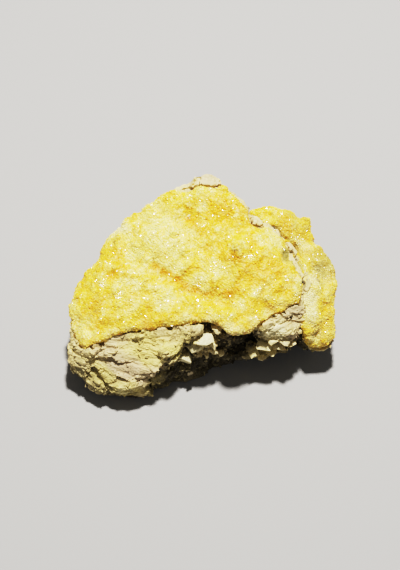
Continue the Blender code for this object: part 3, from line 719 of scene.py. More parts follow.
def fine_grain_group():
    """Small grains seen from close by: a shade and a relief, for rock and sulfur alike."""
    tree, bench, given, made = new_group(
        "fine_grain",
        [
            ("Place", "NodeSocketVector", None),
            ("Grains per metre", "NodeSocketFloat", 1000.0),
            ("Contrast", "NodeSocketFloat", 0.3),
        ],
        [("Shade", "NodeSocketFloat"), ("Relief", "NodeSocketFloat")],
    )
    cells = bench.put("ShaderNodeTexVoronoi", feature="F1")
    bench.feed(cells.inputs["Vector"], given["Place"])
    bench.feed(cells.inputs["Scale"], given["Grains per metre"])
    split = bench.put("ShaderNodeSeparateColor")
    bench.feed(split.inputs[0], cells.outputs["Color"])
    swing = bench.sum("SUBTRACT", split.outputs[0], 0.5)
    shade = bench.sum("MULTIPLY", swing, given["Contrast"])
    bench.feed(made["Shade"], bench.sum("ADD", shade, 1.0))
    bench.feed(made["Relief"], bench.sum("SUBTRACT", 1.0, cells.outputs["Distance"]))
    return tree


def patch_group():
    """Soft patches with a ragged edge, for stains and dustings."""
    tree, bench, given, made = new_group(
        "ragged_patch",
        [
            ("Place", "NodeSocketVector", None),
            ("Patches per metre", "NodeSocketFloat", 100.0),
            ("Cover", "NodeSocketFloat", 0.5),
            ("Edge", "NodeSocketFloat", 0.1),
            ("Raggedness", "NodeSocketFloat", 0.65),
        ],
        [("Mask", "NodeSocketFloat")],
    )
    noise = bench.put("ShaderNodeTexNoise", noise_dimensions="3D")
    bench.feed(noise.inputs["Vector"], given["Place"])
    bench.feed(noise.inputs["Scale"], given["Patches per metre"])
    bench.feed(noise.inputs["Detail"], 5.0)
    bench.feed(noise.inputs["Roughness"], given["Raggedness"])
    level = bench.sum("SUBTRACT", 1.0, given["Cover"])
    low = bench.sum("SUBTRACT", level, given["Edge"])
    high = bench.sum("ADD", level, given["Edge"])
    bench.feed(made["Mask"], bench.spread(noise.outputs["Fac"], low, high))
    return tree


def sulfur_tone_group():
    """The tone of the sulfur from its marks: lemon, gold, pale, amber, cream and a dull green tone, with painted
    highlight on tips and painted shade in hollows.
    """
    tones = [
        ("Gold", GOLD), ("Pale", PALE), ("Cream", CREAM), ("Olive", OLIVE_AND_SHADE), ("Amber", AMBER),
    ]
    inputs = [("Ground", "NodeSocketColor", (*LEMON, 1.0))]
    for label, tone in tones:
        inputs.append((label, "NodeSocketColor", (*tone, 1.0)))
        inputs.append((label + " share", "NodeSocketFloat", 0.0))
    inputs += [
        ("Hollow share", "NodeSocketFloat", 0.0),
        ("Tip share", "NodeSocketFloat", 0.0),
        ("Shade", "NodeSocketFloat", 1.0),
    ]
    tree, bench, given, made = new_group("sulfur_tone", inputs, [("Color", "NodeSocketColor")])
    colour = given["Ground"]
    for label, _ in tones:
        colour = bench.blend(given[label + " share"], colour, given[label])
    # painted highlight on tips, then painted shade multiplied into hollows
    colour = bench.blend(given["Tip share"], colour, TIP_HIGHLIGHT_TONE)
    colour = bench.blend(given["Hollow share"], colour, HOLLOW_SHADE_TONE, "MULTIPLY")
    scale = bench.put("ShaderNodeVectorMath", operation="SCALE")
    bench.feed(scale.inputs[0], colour)
    bench.feed(scale.inputs["Scale"], given["Shade"])
    bench.feed(made["Color"], scale.outputs[0])
    return tree


FINE_GRAIN = fine_grain_group()
RAGGED_PATCH = patch_group()
SULFUR_TONE = sulfur_tone_group()


def new_material(name):
    material = bpy.data.materials.new(name)
    material.use_nodes = True
    bench = Bench(material.node_tree)
    return material, bench, material.node_tree.nodes["Principled BSDF"].inputs


def sulfur_material(name, gloss, inside, depth, grain, relief):
    """Sulfur: waxy to glassy, light gets a little way in, and each grain has its own tone; painted shade darkens its
    hollows and a painted highlight pales its tips.
    """
    material, bench, shader = new_material(name)
    place = bench.place()
    grains = use_group(
        bench, FINE_GRAIN, Place=place, Grains_per_metre=1 / (grain * MM), Contrast=0.07
    )
    lumps = use_group(
        bench, FINE_GRAIN, Place=place, Grains_per_metre=1 / (LUMP_GRAIN * MM), Contrast=0.09
    )
    clumps = use_group(
        bench,
        RAGGED_PATCH,
        Place=place,
        Patches_per_metre=330.0,
        Cover=0.46,
        Edge=0.045,
        Raggedness=0.42,
    )
    honey = use_group(
        bench,
        RAGGED_PATCH,
        Place=place,
        Patches_per_metre=230.0,
        Cover=0.47,
        Edge=0.06,
        Raggedness=0.40,
    )
    own = bench.mark("own")
    shade = bench.sum("MULTIPLY", bench.spread(own, 0.0, 1.0, 0.97, 1.03), grains["Shade"])
    joint = bench.spread(grains["Relief"], 0.35, 0.65, GRAIN_JOINT, 1.0)
    shade = bench.sum("MULTIPLY", bench.sum("MULTIPLY", shade, joint), lumps["Shade"])
    crown = bench.spread(lumps["Relief"], 0.55, 0.80, 0.0, LUMP_CROWN)
    lump_gap = bench.spread(lumps["Relief"], 0.35, 0.55, LUMP_GAP, 0.0)
    clump = bench.sum("MULTIPLY", clumps["Mask"], bench.spread(own, 0.1, 0.9, 0.60, 0.75))
    gold = bench.sum("MAXIMUM", bench.mark("gold"), bench.sum("MULTIPLY", honey["Mask"], 0.75))
    gold = bench.sum("MAXIMUM", gold, bench.spread(own, 0.10, 0.16, GOLD_HEADS, 0.0))
    gold = bench.sum("MAXIMUM", gold, lump_gap)
    pale = bench.sum("ADD", bench.mark("pale"), bench.sum("MULTIPLY", clump, 0.65))
    pale = bench.sum("ADD", bench.sum("SUBTRACT", pale, lump_gap), crown, clamp=True)
    pale = bench.sum("ADD", pale, bench.spread(own, 0.82, 0.88, 0.0, PALE_HEADS), clamp=True)
    # painted shade in the crust's hollows
    hollow = bench.sum("MULTIPLY", bench.mark("hollow"), 0.8, clamp=True)
    tone = use_group(
        bench,
        SULFUR_TONE,
        Gold_share=gold,
        Pale_share=pale,
        Cream_share=bench.mark("cream"),
        # partly painted shade
        Olive_share=bench.mark("olive_and_shade"),
        Amber_share=bench.mark("amber"),
        Hollow_share=hollow,
        # painted highlight on raised tips
        Tip_share=bench.sum("MULTIPLY", bench.mark("tip"), 0.30),
        Shade=shade,
    )
    bench.feed(shader["Base Color"], tone["Color"])
    dull = bench.sum("MULTIPLY", bench.mark("cream"), 0.35)
    rough = bench.sum("ADD", bench.spread(own, 0.0, 1.0, gloss, gloss + 0.16), dull)
    bench.feed(shader["Roughness"], rough)
    shader["IOR"].default_value = 1.65
    shader["Subsurface Weight"].default_value = inside
    shader["Subsurface Radius"].default_value = (1.0, 0.92, 0.45)
    shader["Subsurface Scale"].default_value = depth * MM
    fine = bench.mottle(place, 0.55, 4.0, 0.6)
    bump = bench.put("ShaderNodeBump")
    bump.inputs["Strength"].default_value = relief
    bump.inputs["Distance"].default_value = 0.0003
    height = bench.sum("ADD", fine, grains["Relief"])
    height = bench.sum("ADD", height, bench.sum("MULTIPLY", lumps["Relief"], LUMP_RELIEF))
    bench.feed(bump.inputs["Height"], height)
    bench.feed(shader["Normal"], bump.outputs[0])
    return material


def rock_material(name):
    """Host rock: pale and chalky, in thin layers, stained lilac and lemon, with dark layer seams and specks; shade is
    painted into its creases, recesses and lower faces, and light onto some lit faces.
    """
    material, bench, shader = new_material(name)
    place = bench.place()
    wide = bench.put("ShaderNodeVectorMath", operation="SCALE")
    bench.feed(wide.inputs[0], place)
    wide.inputs["Scale"].default_value = 1 / (6.0 * MM)
    split = bench.put("ShaderNodeSeparateXYZ")
    bench.feed(split.inputs[0], wide.outputs[0])
    strip = bench.put("ShaderNodeCombineXYZ")
    bench.feed(strip.inputs[0], split.outputs[0])
    bench.feed(strip.inputs[1], split.outputs[1])
    bench.feed(strip.inputs[2], bench.sum("MULTIPLY", bench.mark("level"), 1 / 0.8))
    layers = bench.put("ShaderNodeTexNoise", noise_dimensions="3D")
    bench.feed(layers.inputs["Vector"], strip.outputs[0])
    bench.feed(layers.inputs["Scale"], 1.0)
    bench.feed(layers.inputs["Detail"], 4.0)
    seam = bench.spread(layers.outputs["Fac"], 0.30, 0.42, 1.0, 0.0)
    grains = use_group(
        bench, FINE_GRAIN, Place=place, Grains_per_metre=1 / (0.5 * MM), Contrast=0.16
    )
    lemon = use_group(
        bench, RAGGED_PATCH, Place=place, Patches_per_metre=180.0, Cover=0.40, Edge=0.10
    )
    lilac = use_group(
        bench, RAGGED_PATCH, Place=place, Patches_per_metre=120.0, Cover=0.36, Edge=0.10
    )
    speck = use_group(
        bench, RAGGED_PATCH, Place=place, Patches_per_metre=700.0, Cover=0.30, Edge=0.04
    )
    colour = bench.blend(bench.sum("MULTIPLY", lemon["Mask"], 0.40), ROCK_CREAM, ROCK_LEMON)
    colour = bench.blend(bench.sum("MULTIPLY", lilac["Mask"], 0.35), colour, ROCK_LILAC)
    colour = bench.blend(bench.sum("MULTIPLY", bench.mark("lemon"), 0.85), colour, ROCK_LEMON)
    colour = bench.blend(bench.sum("MULTIPLY", bench.mark("lilac"), 0.80), colour, ROCK_LILAC)
    # darker green-brown, partly painted shade
    colour = bench.blend(bench.sum("MULTIPLY", bench.mark("olive_and_shade"), 0.80), colour, ROCK_OLIVE_AND_SHADE)
    colour = bench.blend(bench.sum("MULTIPLY", speck["Mask"], 0.18), colour, ROCK_SEAM_AND_SHADE)
    colour = bench.blend(bench.sum("MULTIPLY", seam, 0.38), colour, ROCK_SEAM_AND_SHADE)
    # painted shade in creases, and the painted shadow line under the crust's edge
    crease_shade = bench.sum("MULTIPLY", bench.mark("crease_shade"), 0.8, clamp=True)
    colour = bench.blend(crease_shade, colour, ROCK_SEAM_AND_SHADE)
    # painted shade: the rock goes near-black where much of the sky is hidden
    recess_shade = bench.spread(bench.mark("recess_shade"), 0.28, 0.60, 0.0, 0.95)
    colour = bench.blend(recess_shade, colour, ROCK_RECESS_SHADE)
    # pale rock with painted light on lit faces
    colour = bench.blend(bench.mark("bright"), colour, ROCK_PALE_AND_LIT)
    scale = bench.put("ShaderNodeVectorMath", operation="SCALE")
    bench.feed(scale.inputs[0], colour)
    bench.feed(scale.inputs["Scale"], grains["Shade"])
    bench.feed(shader["Base Color"], scale.outputs[0])
    bench.feed(shader["Roughness"], bench.spread(bench.mottle(place, 2.0), 0.3, 0.7, 0.62, 0.92))
    shader["IOR"].default_value = 1.5
    fine = bench.mottle(place, 0.9, 6.0, 0.7)
    height = bench.sum("ADD", bench.sum("MULTIPLY", layers.outputs["Fac"], 1.2), fine)
    height = bench.sum("ADD", height, bench.sum("MULTIPLY", grains["Relief"], 0.3))
    bump = bench.put("ShaderNodeBump")
    bump.inputs["Strength"].default_value = 0.60
    bump.inputs["Distance"].default_value = 0.0006
    bench.feed(bump.inputs["Height"], height)
    bench.feed(shader["Normal"], bump.outputs[0])
    return material


def floor_material():
    material, bench, shader = new_material("pale_floor")
    shader["Base Color"].default_value = (*FLOOR_TONE, 1.0)
    shader["Roughness"].default_value = 0.9
    return material


# ======================================================================
# The host rock
# ======================================================================


def layer_level(points):
    """Height across the rock's layers, and the way they face at each point.

    At the front they fan out from the left corner, then climb to the right; at the back they lie
    nearly level.
    """
    away = points - FAN_CORNER
    along = np.maximum(away[:, 0], 6.0)
    fanned = FAN_REACH * np.arctan2(away @ FAN_NORMAL, along)
    right = smooth_step(*FAN_END, points[:, 0])
    back = smooth_step(*BACK_END, points[:, 1])
    front = fanned * (1 - right) + (away @ CLIMB_NORMAL) * right
    level = front * (1 - back) + (away @ LAYER_NORMAL) * back
    right, back = right[:, None], back[:, None]
    facing = (FAN_NORMAL * (1 - right) + CLIMB_NORMAL * right) * (1 - back) + LAYER_NORMAL * back
    facing /= np.linalg.norm(facing, axis=1, keepdims=True)
    return level + 1.3 * rough_noise(points, 14.0, 2, 1.7), facing


def rock_marks(points):
    return {
        "lemon": spot_mask(points, ROCK_LEMON_SPOTS, 2.2),
        "lilac": spot_mask(points, ROCK_LILAC_SPOTS, 2.0),
        "olive_and_shade": spot_mask(points, ROCK_OLIVE_AND_SHADE_SPOTS, 3.0),
        "bright": spot_mask(points, ROCK_PALE_AND_LIT_SPOTS, 0.8, 0.3),
        "level": layer_level(points)[0],
        "crease_shade": np.zeros(len(points)),
        "recess_shade": np.zeros(len(points)),
    }


def solid_tree():
    """All the CAD solids together, to cast lines at."""
    points, corners, start = [], [], 0
    for node in frame["nodes"].values():
        own_points, own_corners = mesh_arrays(node.data)
        points += [Vector(p) for p in own_points]
        corners += (own_corners + start).tolist()
        start += len(own_points)
    return BVHTree.FromPolygons(points, corners, all_triangles=True)


def sheltered(points, normals):
    """The share of the open air above that is hidden from each point, from 0 to 1, for painting shade into recesses."""
    tree = solid_tree()
    keys = np.floor(points / SHELTER_CELL).astype(int)
    _, cell, count = np.unique(keys, axis=0, return_inverse=True, return_counts=True)
    cell = cell.ravel()
    places = np.stack([np.bincount(cell, points[:, a]) / count for a in range(3)], axis=1)
    facing = np.stack([np.bincount(cell, normals[:, a]) / count for a in range(3)], axis=1)
    pick = np.random.default_rng(5)
    ways = pick.normal(0, 1, (SHELTER_WAYS, 3))
    ways /= np.linalg.norm(ways, axis=1, keepdims=True)
    ways[:, 2] = np.abs(ways[:, 2]) + 0.35
    ways /= np.linalg.norm(ways, axis=1, keepdims=True)
    share = np.zeros(len(places))
    lines = [Vector(way) for way in ways]
    for index, (place, normal) in enumerate(zip(places, facing)):
        start = Vector(place + normal * 1.2)
        hidden = sum(tree.ray_cast(start, line, 40.0)[0] is not None for line in lines)
        share[index] = hidden / SHELTER_WAYS
    return share[cell]


def crust_trees():
    trees = []
    for node in ("sulfur_crust", "side_sulfur_crust"):
        points, corners = welded_node(node)
        lines = [Vector(p) for p in points.tolist()]
        trees.append(BVHTree.FromPolygons(lines, corners.tolist(), all_triangles=True))
    return trees


def under_crust(points, normals):
    """Which points of the rock lie close under a crust."""
    trees = crust_trees()
    return np.array(
        [
            any(tree.ray_cast(Vector(p), Vector(n), 2.5)[0] is not None for tree in trees)
            for p, n in zip(points.tolist(), normals.tolist())
        ]
    )


def crust_gap(points):
    """Distance from each point to the nearest crust."""
    gap = np.full(len(points), 99.0)
    for tree in crust_trees():
        own = [tree.find_nearest(Vector(p), 4.0)[3] for p in points.tolist()]
        gap = np.minimum(gap, [99.0 if distance is None else distance for distance in own])
    return gap


def rock_blocks():
    """Broken blocks of rock that stand out of the front: arrays and each point's brightness."""
    points, corners, bright, start = [], [], [], 0
    for index, (x, y, z, wide, deep, tall, turn, shine) in enumerate(ROCK_BLOCKS):
        pick = np.random.default_rng(300 + index)
        c, s = math.cos(turn), math.sin(turn)
        turned = np.array(((c, s, 0), (-s, c, 0), (0, 0, 1)))
        for part in range(BLOCK_PARTS):
            size = np.array((wide, deep, tall)) * (1.0 if part == 0 else pick.uniform(0.3, 0.6))
            away = pick.uniform(-0.5, 0.5, 3) * (wide, 0.3 * deep, 0.6 * tall) * (part > 0)
            front = pick.normal(0, 1, (12, 3))
            front /= np.linalg.norm(front, axis=1, keepdims=True)
            front = np.clip(front * 0.62, -0.5, 0.5) * size
            shape, triangles = closed_hull(np.concatenate([front, front * 0.7 + BLOCK_ROOT]))
            points.append((shape + away) @ turned + (x, y, z))
            corners.append(triangles + start)
            bright.append(np.full(len(shape), shine * (1.0 if part == 0 else pick.uniform(0.2, 0.8))))
            start += len(shape)
    return np.concatenate(points), np.concatenate(corners), np.concatenate(bright)


def featured(points, features, normals):
    """Raises or sinks round places of a skin: each is x, y, z, radius and height."""
    moved = points.copy()
    for x, y, z, radius, height in features:
        away = np.linalg.norm((moved - (x, y, z)) / (1, 1, 2.0), axis=1) / radius
        moved[:, 2] += height * smooth_step(1.0, 0.0, away) * (normals[:, 2] > -0.2)
    return moved


def make_host_rock(material):
    points, corners = even_skin(*welded_node("host_rock"), ROCK_SKIN)
    points = eased(points, corners, ROCK_EASE)
    normals = point_normals(points, corners)
    points = featured(points, ROCK_FEATURES, normals)
    level, facing = layer_level(points)
    side_on = 1 - np.abs((normals * facing).sum(1))
    calm = spot_mask(points, CALM_SPOTS)
    out = 0.30 * rough_noise(points, 9.0, 3, 17.0)
    terrace = np.zeros(len(points))
    for thickness, depth, along in LAYER_SIZES:
        sway = 0.25 * thickness * rough_noise(points, 5.0, 3, thickness)
        number = np.floor((level + sway) / thickness)
        part = (level + sway) / thickness - number
        shift = (number * 13.7)[:, None] * np.array((1.0, 0.61, 0.37))
        own_depth = depth * (1 - 0.55 * calm)
        out += own_depth * side_on * soft_noise(points / along + shift, 1.0)
        terrace += 0.5 * own_depth * (0.5 - part) * (1 - side_on)
    pressed = points + LAYER_NORMAL * (points @ LAYER_NORMAL)[:, None] * LAYER_PRESS
    out += 0.22 * rough_noise(pressed, 4.0, 3, 31.0)
    ridges = np.column_stack([points[:, 0] / 7.0, points[:, 1] / 7.0, level / 2.4])
    out += 0.30 * rough_noise(ridges, 1.0, 2, 51.0)
    chips, chip_gap = broken_cells(pressed, 7.0, 6.4)
    torn = smooth_step(0.2, 0.8, rough_noise(points, 7.0, 2, 41.0)) * (1 - calm)
    out += 0.14 * chips - 0.4 * torn * smooth_step(0.6, 0.0, chip_gap)
    out = np.clip(out + terrace, -1.6, 1.5)
    beside = smooth_step(3.0, 0.6, crust_gap(points))
    lip = beside * (
        smooth_step(2.0, -6.0, points[:, 1]) + BACK_LIP * smooth_step(16.0, 22.0, points[:, 1])
    )
    out = out * (1 - 0.6 * lip) + CRUST_LIP * lip
    out = np.where(under_crust(points, normals), np.minimum(out, 0.0) - 0.25, out)
    sunk = points[:, 2] < 0.8
    out = np.where(sunk, np.minimum(out, 0.0), out)
    moved = points + normals * out[:, None]
    moved[:, 2] = np.where(points[:, 2] < 0.35, np.maximum(points[:, 2], 0), moved[:, 2])
    moved[:, 2] = np.maximum(moved[:, 2], 0)
    moved_normals = point_normals(moved, corners)
    hollow = hollow_mark(moved, corners, moved_normals, 8, 0.35)
    marks = rock_marks(moved)
    back = beside * smooth_step(-4.0, 2.0, points[:, 1])
    back = np.maximum(back, spot_mask(moved, PEAK_SPOTS))
    # painted shade: dark in the deeper creases, and along the painted shadow line under the crust's edge
    crease_shade = np.clip(hollow - 0.30, 0, 1) * (1 - 0.5 * calm)
    marks["crease_shade"] = np.maximum(crease_shade, spot_mask(moved, EDGE_SHADOW_SPOTS, 0.5)) * (1 - back)
    # painted shade: the hidden-sky share, less along the crust's lip and at the back, plus the listed shade spots
    recess_shade = sheltered(moved, moved_normals) * (1 - 0.7 * lip) * (1 - 0.8 * back)
    marks["recess_shade"] = np.maximum(recess_shade, 0.62 * spot_mask(moved, SHADE_SPOTS, 0.9, 0.3))
    piece = new_piece(
        "host_rock_stone", moved, corners, marks, material, ["host_rock"], smooth=False
    )
    return moved, corners


def flake_form(variant):
    """A thin plate of rock with a broken outline."""
    pick = np.random.default_rng(1200 + variant)
    turns = np.sort(pick.uniform(0, 2 * math.pi, 7))
    reach = pick.uniform(0.36, 0.52, 7)
    outline = np.stack([np.cos(turns) * reach, np.sin(turns) * reach * 0.8], axis=1)
    upper = np.column_stack([outline * pick.uniform(0.75, 0.95, (7, 1)), np.full(7, 0.5)])
    lower = np.column_stack([outline, np.full(7, -0.5)])
    return closed_hull(np.concatenate([upper, lower]))


def make_rock_flakes(points, corners, material):
    """Thin plates of rock that stand out of its broken layers."""
    pick = np.random.default_rng(63)

    def allowed(middles, normals):
        x, y, z = middles.T
        side_on = 1 - np.abs(normals @ LAYER_NORMAL)
        front = smooth_step(4.0, -6.0, y + 0.3 * np.abs(x)) * 0.9 + 0.35
        calm = spot_mask(middles, CALM_SPOTS)
        return front * (0.25 + side_on) * (z > 1.5) * (1 - 0.9 * calm)

    places, normals = seats_on(points, corners, 5000, 1.3, pick, allowed)
    clear = ~under_crust(places, normals)
    places, normals = places[clear], normals[clear]
    forms = [flake_form(variant) for variant in range(14)]
    frames = [turned_frame(LAYER_NORMAL, 0.16, pick) for _ in places]
    size = 1.4 + 2.6 * pick.random(len(places)) ** 2
    sizes = np.column_stack([size, size, 0.22 + 0.4 * pick.random(len(places)) ** 2])
    places = places - normals * (size * pick.uniform(0.18, 0.40, len(places)))[:, None]
    proud = sizes[:, 2] * 0.5
    solid, triangles, height, number = joined_grains(forms, places, frames, sizes, proud)
    marks = rock_marks(solid)
    # painted shade on the flakes, from how much sky each seat can't see
    shade = sheltered(places, normals)
    marks["recess_shade"] = shade[number]
    piece = new_piece("rock_flakes", solid, triangles, marks, material, smooth=False)


def make_rock_rubble(points, corners, material):
    """Crumbs and splinters of rock on its ledges and in its broken front."""
    pick = np.random.default_rng(31)

    def allowed(middles, normals):
        x, y, z = middles.T
        front = (y < 3 - 0.35 * np.abs(x)) & (z > 2.5)
        usable = ((front | (z < 12)) & (normals[:, 2] > -0.1) & (z > 1.2)).astype(float)
        return usable * (0.25 + 2.5 * spot_mask(middles, RUBBLE_SPOTS))

    places, normals = seats_on(points, corners, 3200, 1.1, pick, allowed)
    forms = [shard_form(variant) for variant in range(12)]
    frames = [turned_frame(normal, 0.5, pick) for normal in normals]
    size = 0.8 + 1.5 * pick.random(len(places)) ** 2.5
    sizes = size[:, None] * pick.uniform(0.75, 1.25, (len(places), 3))
    solid, triangles, height, number = joined_grains(forms, places, frames, sizes, size * 0.3)
    blocks, block_corners, bright = rock_blocks()
    triangles = np.concatenate([triangles, block_corners + len(solid)])
    loose = len(solid)
    solid = np.concatenate([solid, blocks])
    marks = rock_marks(solid)
    # the blocks' tones: pale with painted light above zero, dark painted shade below zero
    marks["bright"][loose:] = np.clip(bright, 0, 1)
    marks["olive_and_shade"][loose:] = np.clip(-bright, 0, 1)
    piece = new_piece("rock_rubble", solid, triangles, marks, material, smooth=False)


# ======================================================================
# The sulfur crusts
# ======================================================================


def crust_marks(points, hollow, tip, own):
    marks = tone_marks(points)
    marks["hollow"] = np.clip(hollow, 0, 1)
    marks["tip"] = np.clip(tip, 0, 1)
    marks["own"] = own
    return marks


def crust_bed(node):
    """The crust's own body, in round lumps, with room left for its crystals."""
    body, body_corners = welded_node(node)
    points, corners = even_skin(
        np.concatenate([body, body + CRUST_BACKING[node]]),
        np.concatenate([body_corners, body_corners + len(body)]),
        BED_COARSE,
    )
    points = eased(points, corners, CRUST_EASE, EASE_BACK)
    points, corners = even_skin(points, corners, BED_SKIN)
    points = eased(points, corners, 4)
    normals = point_normals(points, corners)
    near, following, _ = grain_cells(points, LUMP_SIZE, 2.7)
    out = LUMP_HEIGHT * (0.55 - near) + 0.18 * rough_noise(points, 4.0, 2, 21.0)
    out += CRUST_ROOM[node]
    moved = points + normals * out[:, None]
    return featured(moved, CRUST_FEATURES, normals), corners


def crystal_seats(bed, rock_tree, pick, width, spacing, trials, stand, lean, clusters=None):
    """Crystals of one size over the open side of a crust, as arrays with their seats."""
    points, corners = bed

    def allowed(middles, normals):
        smooth = spot_mask(middles, SMOOTH_SPOTS)
        share = np.where(normals[:, 2] > -0.05, 1.0, 0.0) * (1 - 0.93 * smooth)
        if clusters:
            size, level = clusters
            grown = smooth_step(level, level + 0.4, rough_noise(middles, size, 3, 71.0))
            share *= 0.03 + 0.22 * grown + 2.0 * spot_mask(middles, GLINT_SPOTS, 1.2)
        return share

    places, normals = seats_on(points, corners, trials, spacing, pick, allowed)
    open_air = [
        rock_tree.ray_cast(Vector(p + n * 0.1), Vector(n), 4.0)[0] is None
        for p, n in zip(places, normals)
    ]
    places, normals = places[open_air], normals[open_air]
    order = pick.permutation(len(places))
    places, normals = places[order], normals[order]
    frames = [turned_frame(normal, lean, pick) for normal in normals]
    if clusters:
        bright = spot_mask(places, GLINT_SPOTS, 1.2) > pick.uniform(0.35, 1.0, len(places))
        for index in np.flatnonzero(bright):
            frames[index] = turned_frame(GLINT_TURN, GLINT_LEAN, pick)
    size = width * pick.uniform(0.8, 1.25, len(places))
    sizes = size[:, None] * pick.uniform(0.85, 1.15, (len(places), 3))
    sizes[:, 2] *= HEAD_FLATNESS
    proud = stand * pick.uniform(0.4, 1.5, len(places))
    proud += stand * 1.8 * (pick.random(len(places)) < PROUD_SHARE)
    forms = GLINT_FORMS if clusters else CRYSTAL_FORMS
    return places, joined_grains(forms, places, frames, sizes, proud)


def seam_body(pick):
    """Lumps that fill the seam between the two crusts, up to a little below their rims."""
    tree = solid_tree()
    route = np.array(SEAM_ROUTE)
    shape, triangles = closed_hull(ball_corners(12))
    points, corners, start = [], [], 0
    for _ in range(SEAM_LUMPS):
        leg = pick.integers(len(route) - 1)
        middle = route[leg] + pick.random() * (route[leg + 1] - route[leg])
        x, y = middle[:2] + pick.normal(0, middle[2], 2)
        around = []
        for turn in np.linspace(0, 2 * math.pi, 9)[:-1]:
            near_by = (x + 2.6 * math.cos(turn), y + 2.6 * math.sin(turn), 60.0)
            hit = tree.ray_cast(Vector(near_by), Vector((0, 0, -1)))[0]
            if hit is not None:
                around.append(hit.z)
        if len(around) < 8:
            continue
        radius = pick.uniform(1.1, 1.9)
        own = tree.ray_cast(Vector((x, y, 60.0)), Vector((0, 0, -1)))[0]
        level = max(np.percentile(around, 60) - SEAM_DROP, own.z + SEAM_COVER) - radius
        for layer in range(3):
            place = (x, y, level - layer * radius)
            points.append(shape * radius * (1, 1, 0.95) + place)
            corners.append(triangles + start)
            start += len(shape)
    for x, y, z, radius in SEAM_FRONT:
        points.append(shape * radius + (x, y, z))
        corners.append(triangles + start)
        start += len(shape)
    skin, skin_corners = even_skin(np.concatenate(points), np.concatenate(corners), BED_SKIN)
    return eased(skin, skin_corners, 8), skin_corners


def ball_corners(rings):
    """Corners of a ball, laid out on a spiral."""
    count = rings * rings
    index = np.arange(count) + 0.5
    level = 1 - 2 * index / count
    turn = index * 2.39996
    reach = np.sqrt(1 - level**2)
    return np.stack([np.cos(turn) * reach, np.sin(turn) * reach, level], axis=1)


def make_crust(name, bed, rock, materials, seed, nodes):
    """A crust: one skin over its body and its crowded crystals, and bright crystals on it."""
    pick = np.random.default_rng(seed)
    rock_tree = BVHTree.FromPolygons(
        [Vector(p) for p in rock[0]], rock[1].tolist(), all_triangles=True
    )
    points, corners, seats, start = [bed[0]], [bed[1]], [], len(bed[0])
    for _, width, spacing, trials, stand, lean in CRYSTAL_SIZES:
        places, grains = crystal_seats(
            bed, rock_tree, pick, width, spacing, trials, stand, lean
        )
        points.append(grains[0])
        corners.append(grains[1] + start)
        start += len(grains[0])
        seats.append(places)
    skin, skin_corners = even_skin(np.concatenate(points), np.concatenate(corners), CRUST_SKIN)
    skin_normals = point_normals(skin, skin_corners)
    seats = np.concatenate(seats)
    finder = KDTree(len(seats))
    for index, seat in enumerate(seats):
        finder.insert(seat, index)
    finder.balance()
    nearest = np.array([finder.find(p)[1] for p in skin.tolist()])
    own = pick.random(len(seats))[nearest]
    wide = hollow_mark(skin, skin_corners, skin_normals, 30, 0.9)
    close = hollow_mark(skin, skin_corners, skin_normals, 4, 0.22)
    marks = {mark: values[nearest] for mark, values in tone_marks(seats).items()}
    # painted shade in the hollows of the skin
    marks["hollow"] = np.clip(0.6 * wide + 0.4 * close, 0, 1)
    # painted highlight on the skin's raised tips
    marks["tip"] = np.clip(-0.5 * wide - 0.5 * close, 0, 1)
    marks["own"] = own
    piece = new_piece(f"{name}_druse", skin, skin_corners, marks, materials[0], nodes)

    places, grains = crystal_seats(
        (skin, skin_corners), rock_tree, pick, *GLINT_CRYSTALS, GLINT_CLUSTERS
    )
    solid, triangles, height, number = grains
    marks = {mark: values[number] for mark, values in tone_marks(places).items()}
    marks["hollow"] = np.zeros(len(solid))
    # painted highlight: crystals in the glint spots take the pale tone
    marks["pale"] = np.maximum(marks["pale"], 0.8 * spot_mask(places, GLINT_SPOTS, 1.2)[number])
    # painted highlight: paler towards each crystal's head
    marks["tip"] = height * 0.15
    marks["own"] = pick.random(len(places))[number]
    piece = new_piece(f"{name}_crystals", solid, triangles, marks, materials[1], smooth=False)


# ======================================================================
# Floor, light and camera
# ======================================================================

FILM_WHITE = 4.0
FILM_CURVE = [
    (0.05, 0.030), (0.2, 0.185), (0.5, 0.50), (0.8, 0.67), (1.2, 0.78), (1.7, 0.85), (2.5, 0.93),
]
SOFT_LIGHT = 1.6
CAMERA_TARGET = (-0.00125, 0.00055, 0.020)
CAMERA_RISE = 58.0
CAMERA_REACH = 0.600
CAMERA_LENS = 111.79


def make_floor():
    mesh = bpy.data.meshes.new("floor")
    half = 1.5
    mesh.from_pydata(
        [(-half, -half, 0), (half, -half, 0), (half, half, 0), (-half, half, 0)], [], [(0, 1, 2, 3)]
    )
    floor = bpy.data.objects.new("floor", mesh)
    floor.location.z = -0.00005
    mesh.materials.append(floor_material())
    bpy.context.scene.collection.objects.link(floor)


def area_light(name, place, aim, size, power, tone=(1, 1, 1)):
    light = bpy.data.lights.new(name, "AREA")
    light.shape = "DISK"
    light.size = size
    light.energy = power
    light.color = tone
    lamp = bpy.data.objects.new(name, light)
    lamp.location = place
    lamp.rotation_euler = (Vector(aim) - Vector(place)).to_track_quat("-Z", "Y").to_euler()
    bpy.context.scene.collection.objects.link(lamp)


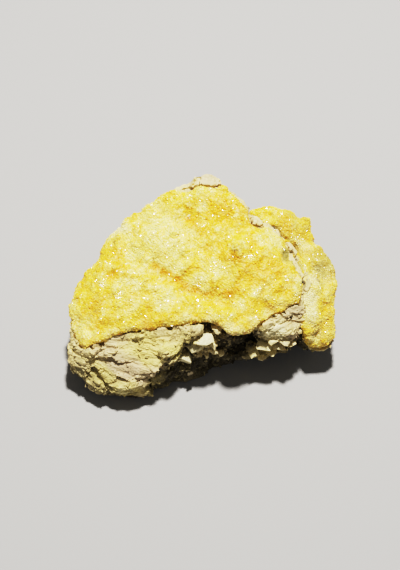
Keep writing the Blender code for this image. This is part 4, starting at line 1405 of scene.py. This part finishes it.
def make_lights():
    aim = (0.0, 0.0, 0.02)
    area_light("key_lamp", (0.04, 0.155, 0.76), aim, 0.07, 8.2 * SOFT_LIGHT, (1.0, 0.98, 0.94))
    area_light("front_fill", (-0.35, -0.75, 0.55), aim, 0.60, 0.15 * SOFT_LIGHT, (0.95, 0.97, 1.0))
    world = bpy.data.worlds.new("studio_air")
    world.use_nodes = True
    world.node_tree.nodes["Background"].inputs[0].default_value = (1.0, 0.98, 0.94, 1.0)
    world.node_tree.nodes["Background"].inputs[1].default_value = 0.10 * SOFT_LIGHT
    bpy.context.scene.world = world
    view = bpy.context.scene.view_settings
    view.view_transform = "Standard"
    view.look = "None"
    view.exposure = 0.0
    view.use_curve_mapping = True
    mapping = view.curve_mapping
    mapping.white_level = (FILM_WHITE,) * 3
    curve = mapping.curves[3]
    for level, shown in FILM_CURVE:
        curve.points.new(level / FILM_WHITE, shown)
    mapping.update()


def make_camera():
    data = bpy.data.cameras.new("camera")
    data.lens = CAMERA_LENS
    data.sensor_width = 36.0
    data.clip_start = 0.01
    camera = bpy.data.objects.new("camera", data)
    rise = math.radians(CAMERA_RISE)
    back = Vector((0.0, -math.cos(rise), math.sin(rise)))
    camera.location = Vector(CAMERA_TARGET) + back * CAMERA_REACH
    camera.rotation_euler = (-back).to_track_quat("-Z", "Y").to_euler()
    bpy.context.scene.collection.objects.link(camera)
    bpy.context.scene.camera = camera


# ======================================================================
# All together
# ======================================================================

stone = rock_material("host_rock_stone")
druse = sulfur_material("sulfur_druse", 0.42, 1.0, 0.8, 0.95, 1.0)
crystal = sulfur_material("sulfur_crystal", 0.10, 0.25, 0.5, 1.4, 0.08)

rock_skin = make_host_rock(stone)
make_rock_rubble(*rock_skin, stone)
make_rock_flakes(*rock_skin, stone)
GLINT_FORMS = [blocky_form(variant) for variant in range(6)]
CRYSTAL_FORMS = [sulfur_form(variant) for variant in range(9)] + GLINT_FORMS
for name, node, seed in (
    ("main_crust", "sulfur_crust", 51),
    ("side_crust", "side_sulfur_crust", 77),
):
    make_crust(name, crust_bed(node), rock_skin, (druse, crystal), seed, [node])
seam = seam_body(np.random.default_rng(19))
make_crust("seam", seam, rock_skin, (druse, crystal), 93, [])

for piece in bpy.data.objects:
    if piece.type == "MESH" and piece.name not in frame["nodes"]:
        print("PIECE", piece.name, len(piece.data.polygons))

make_floor()
make_lights()
make_camera()
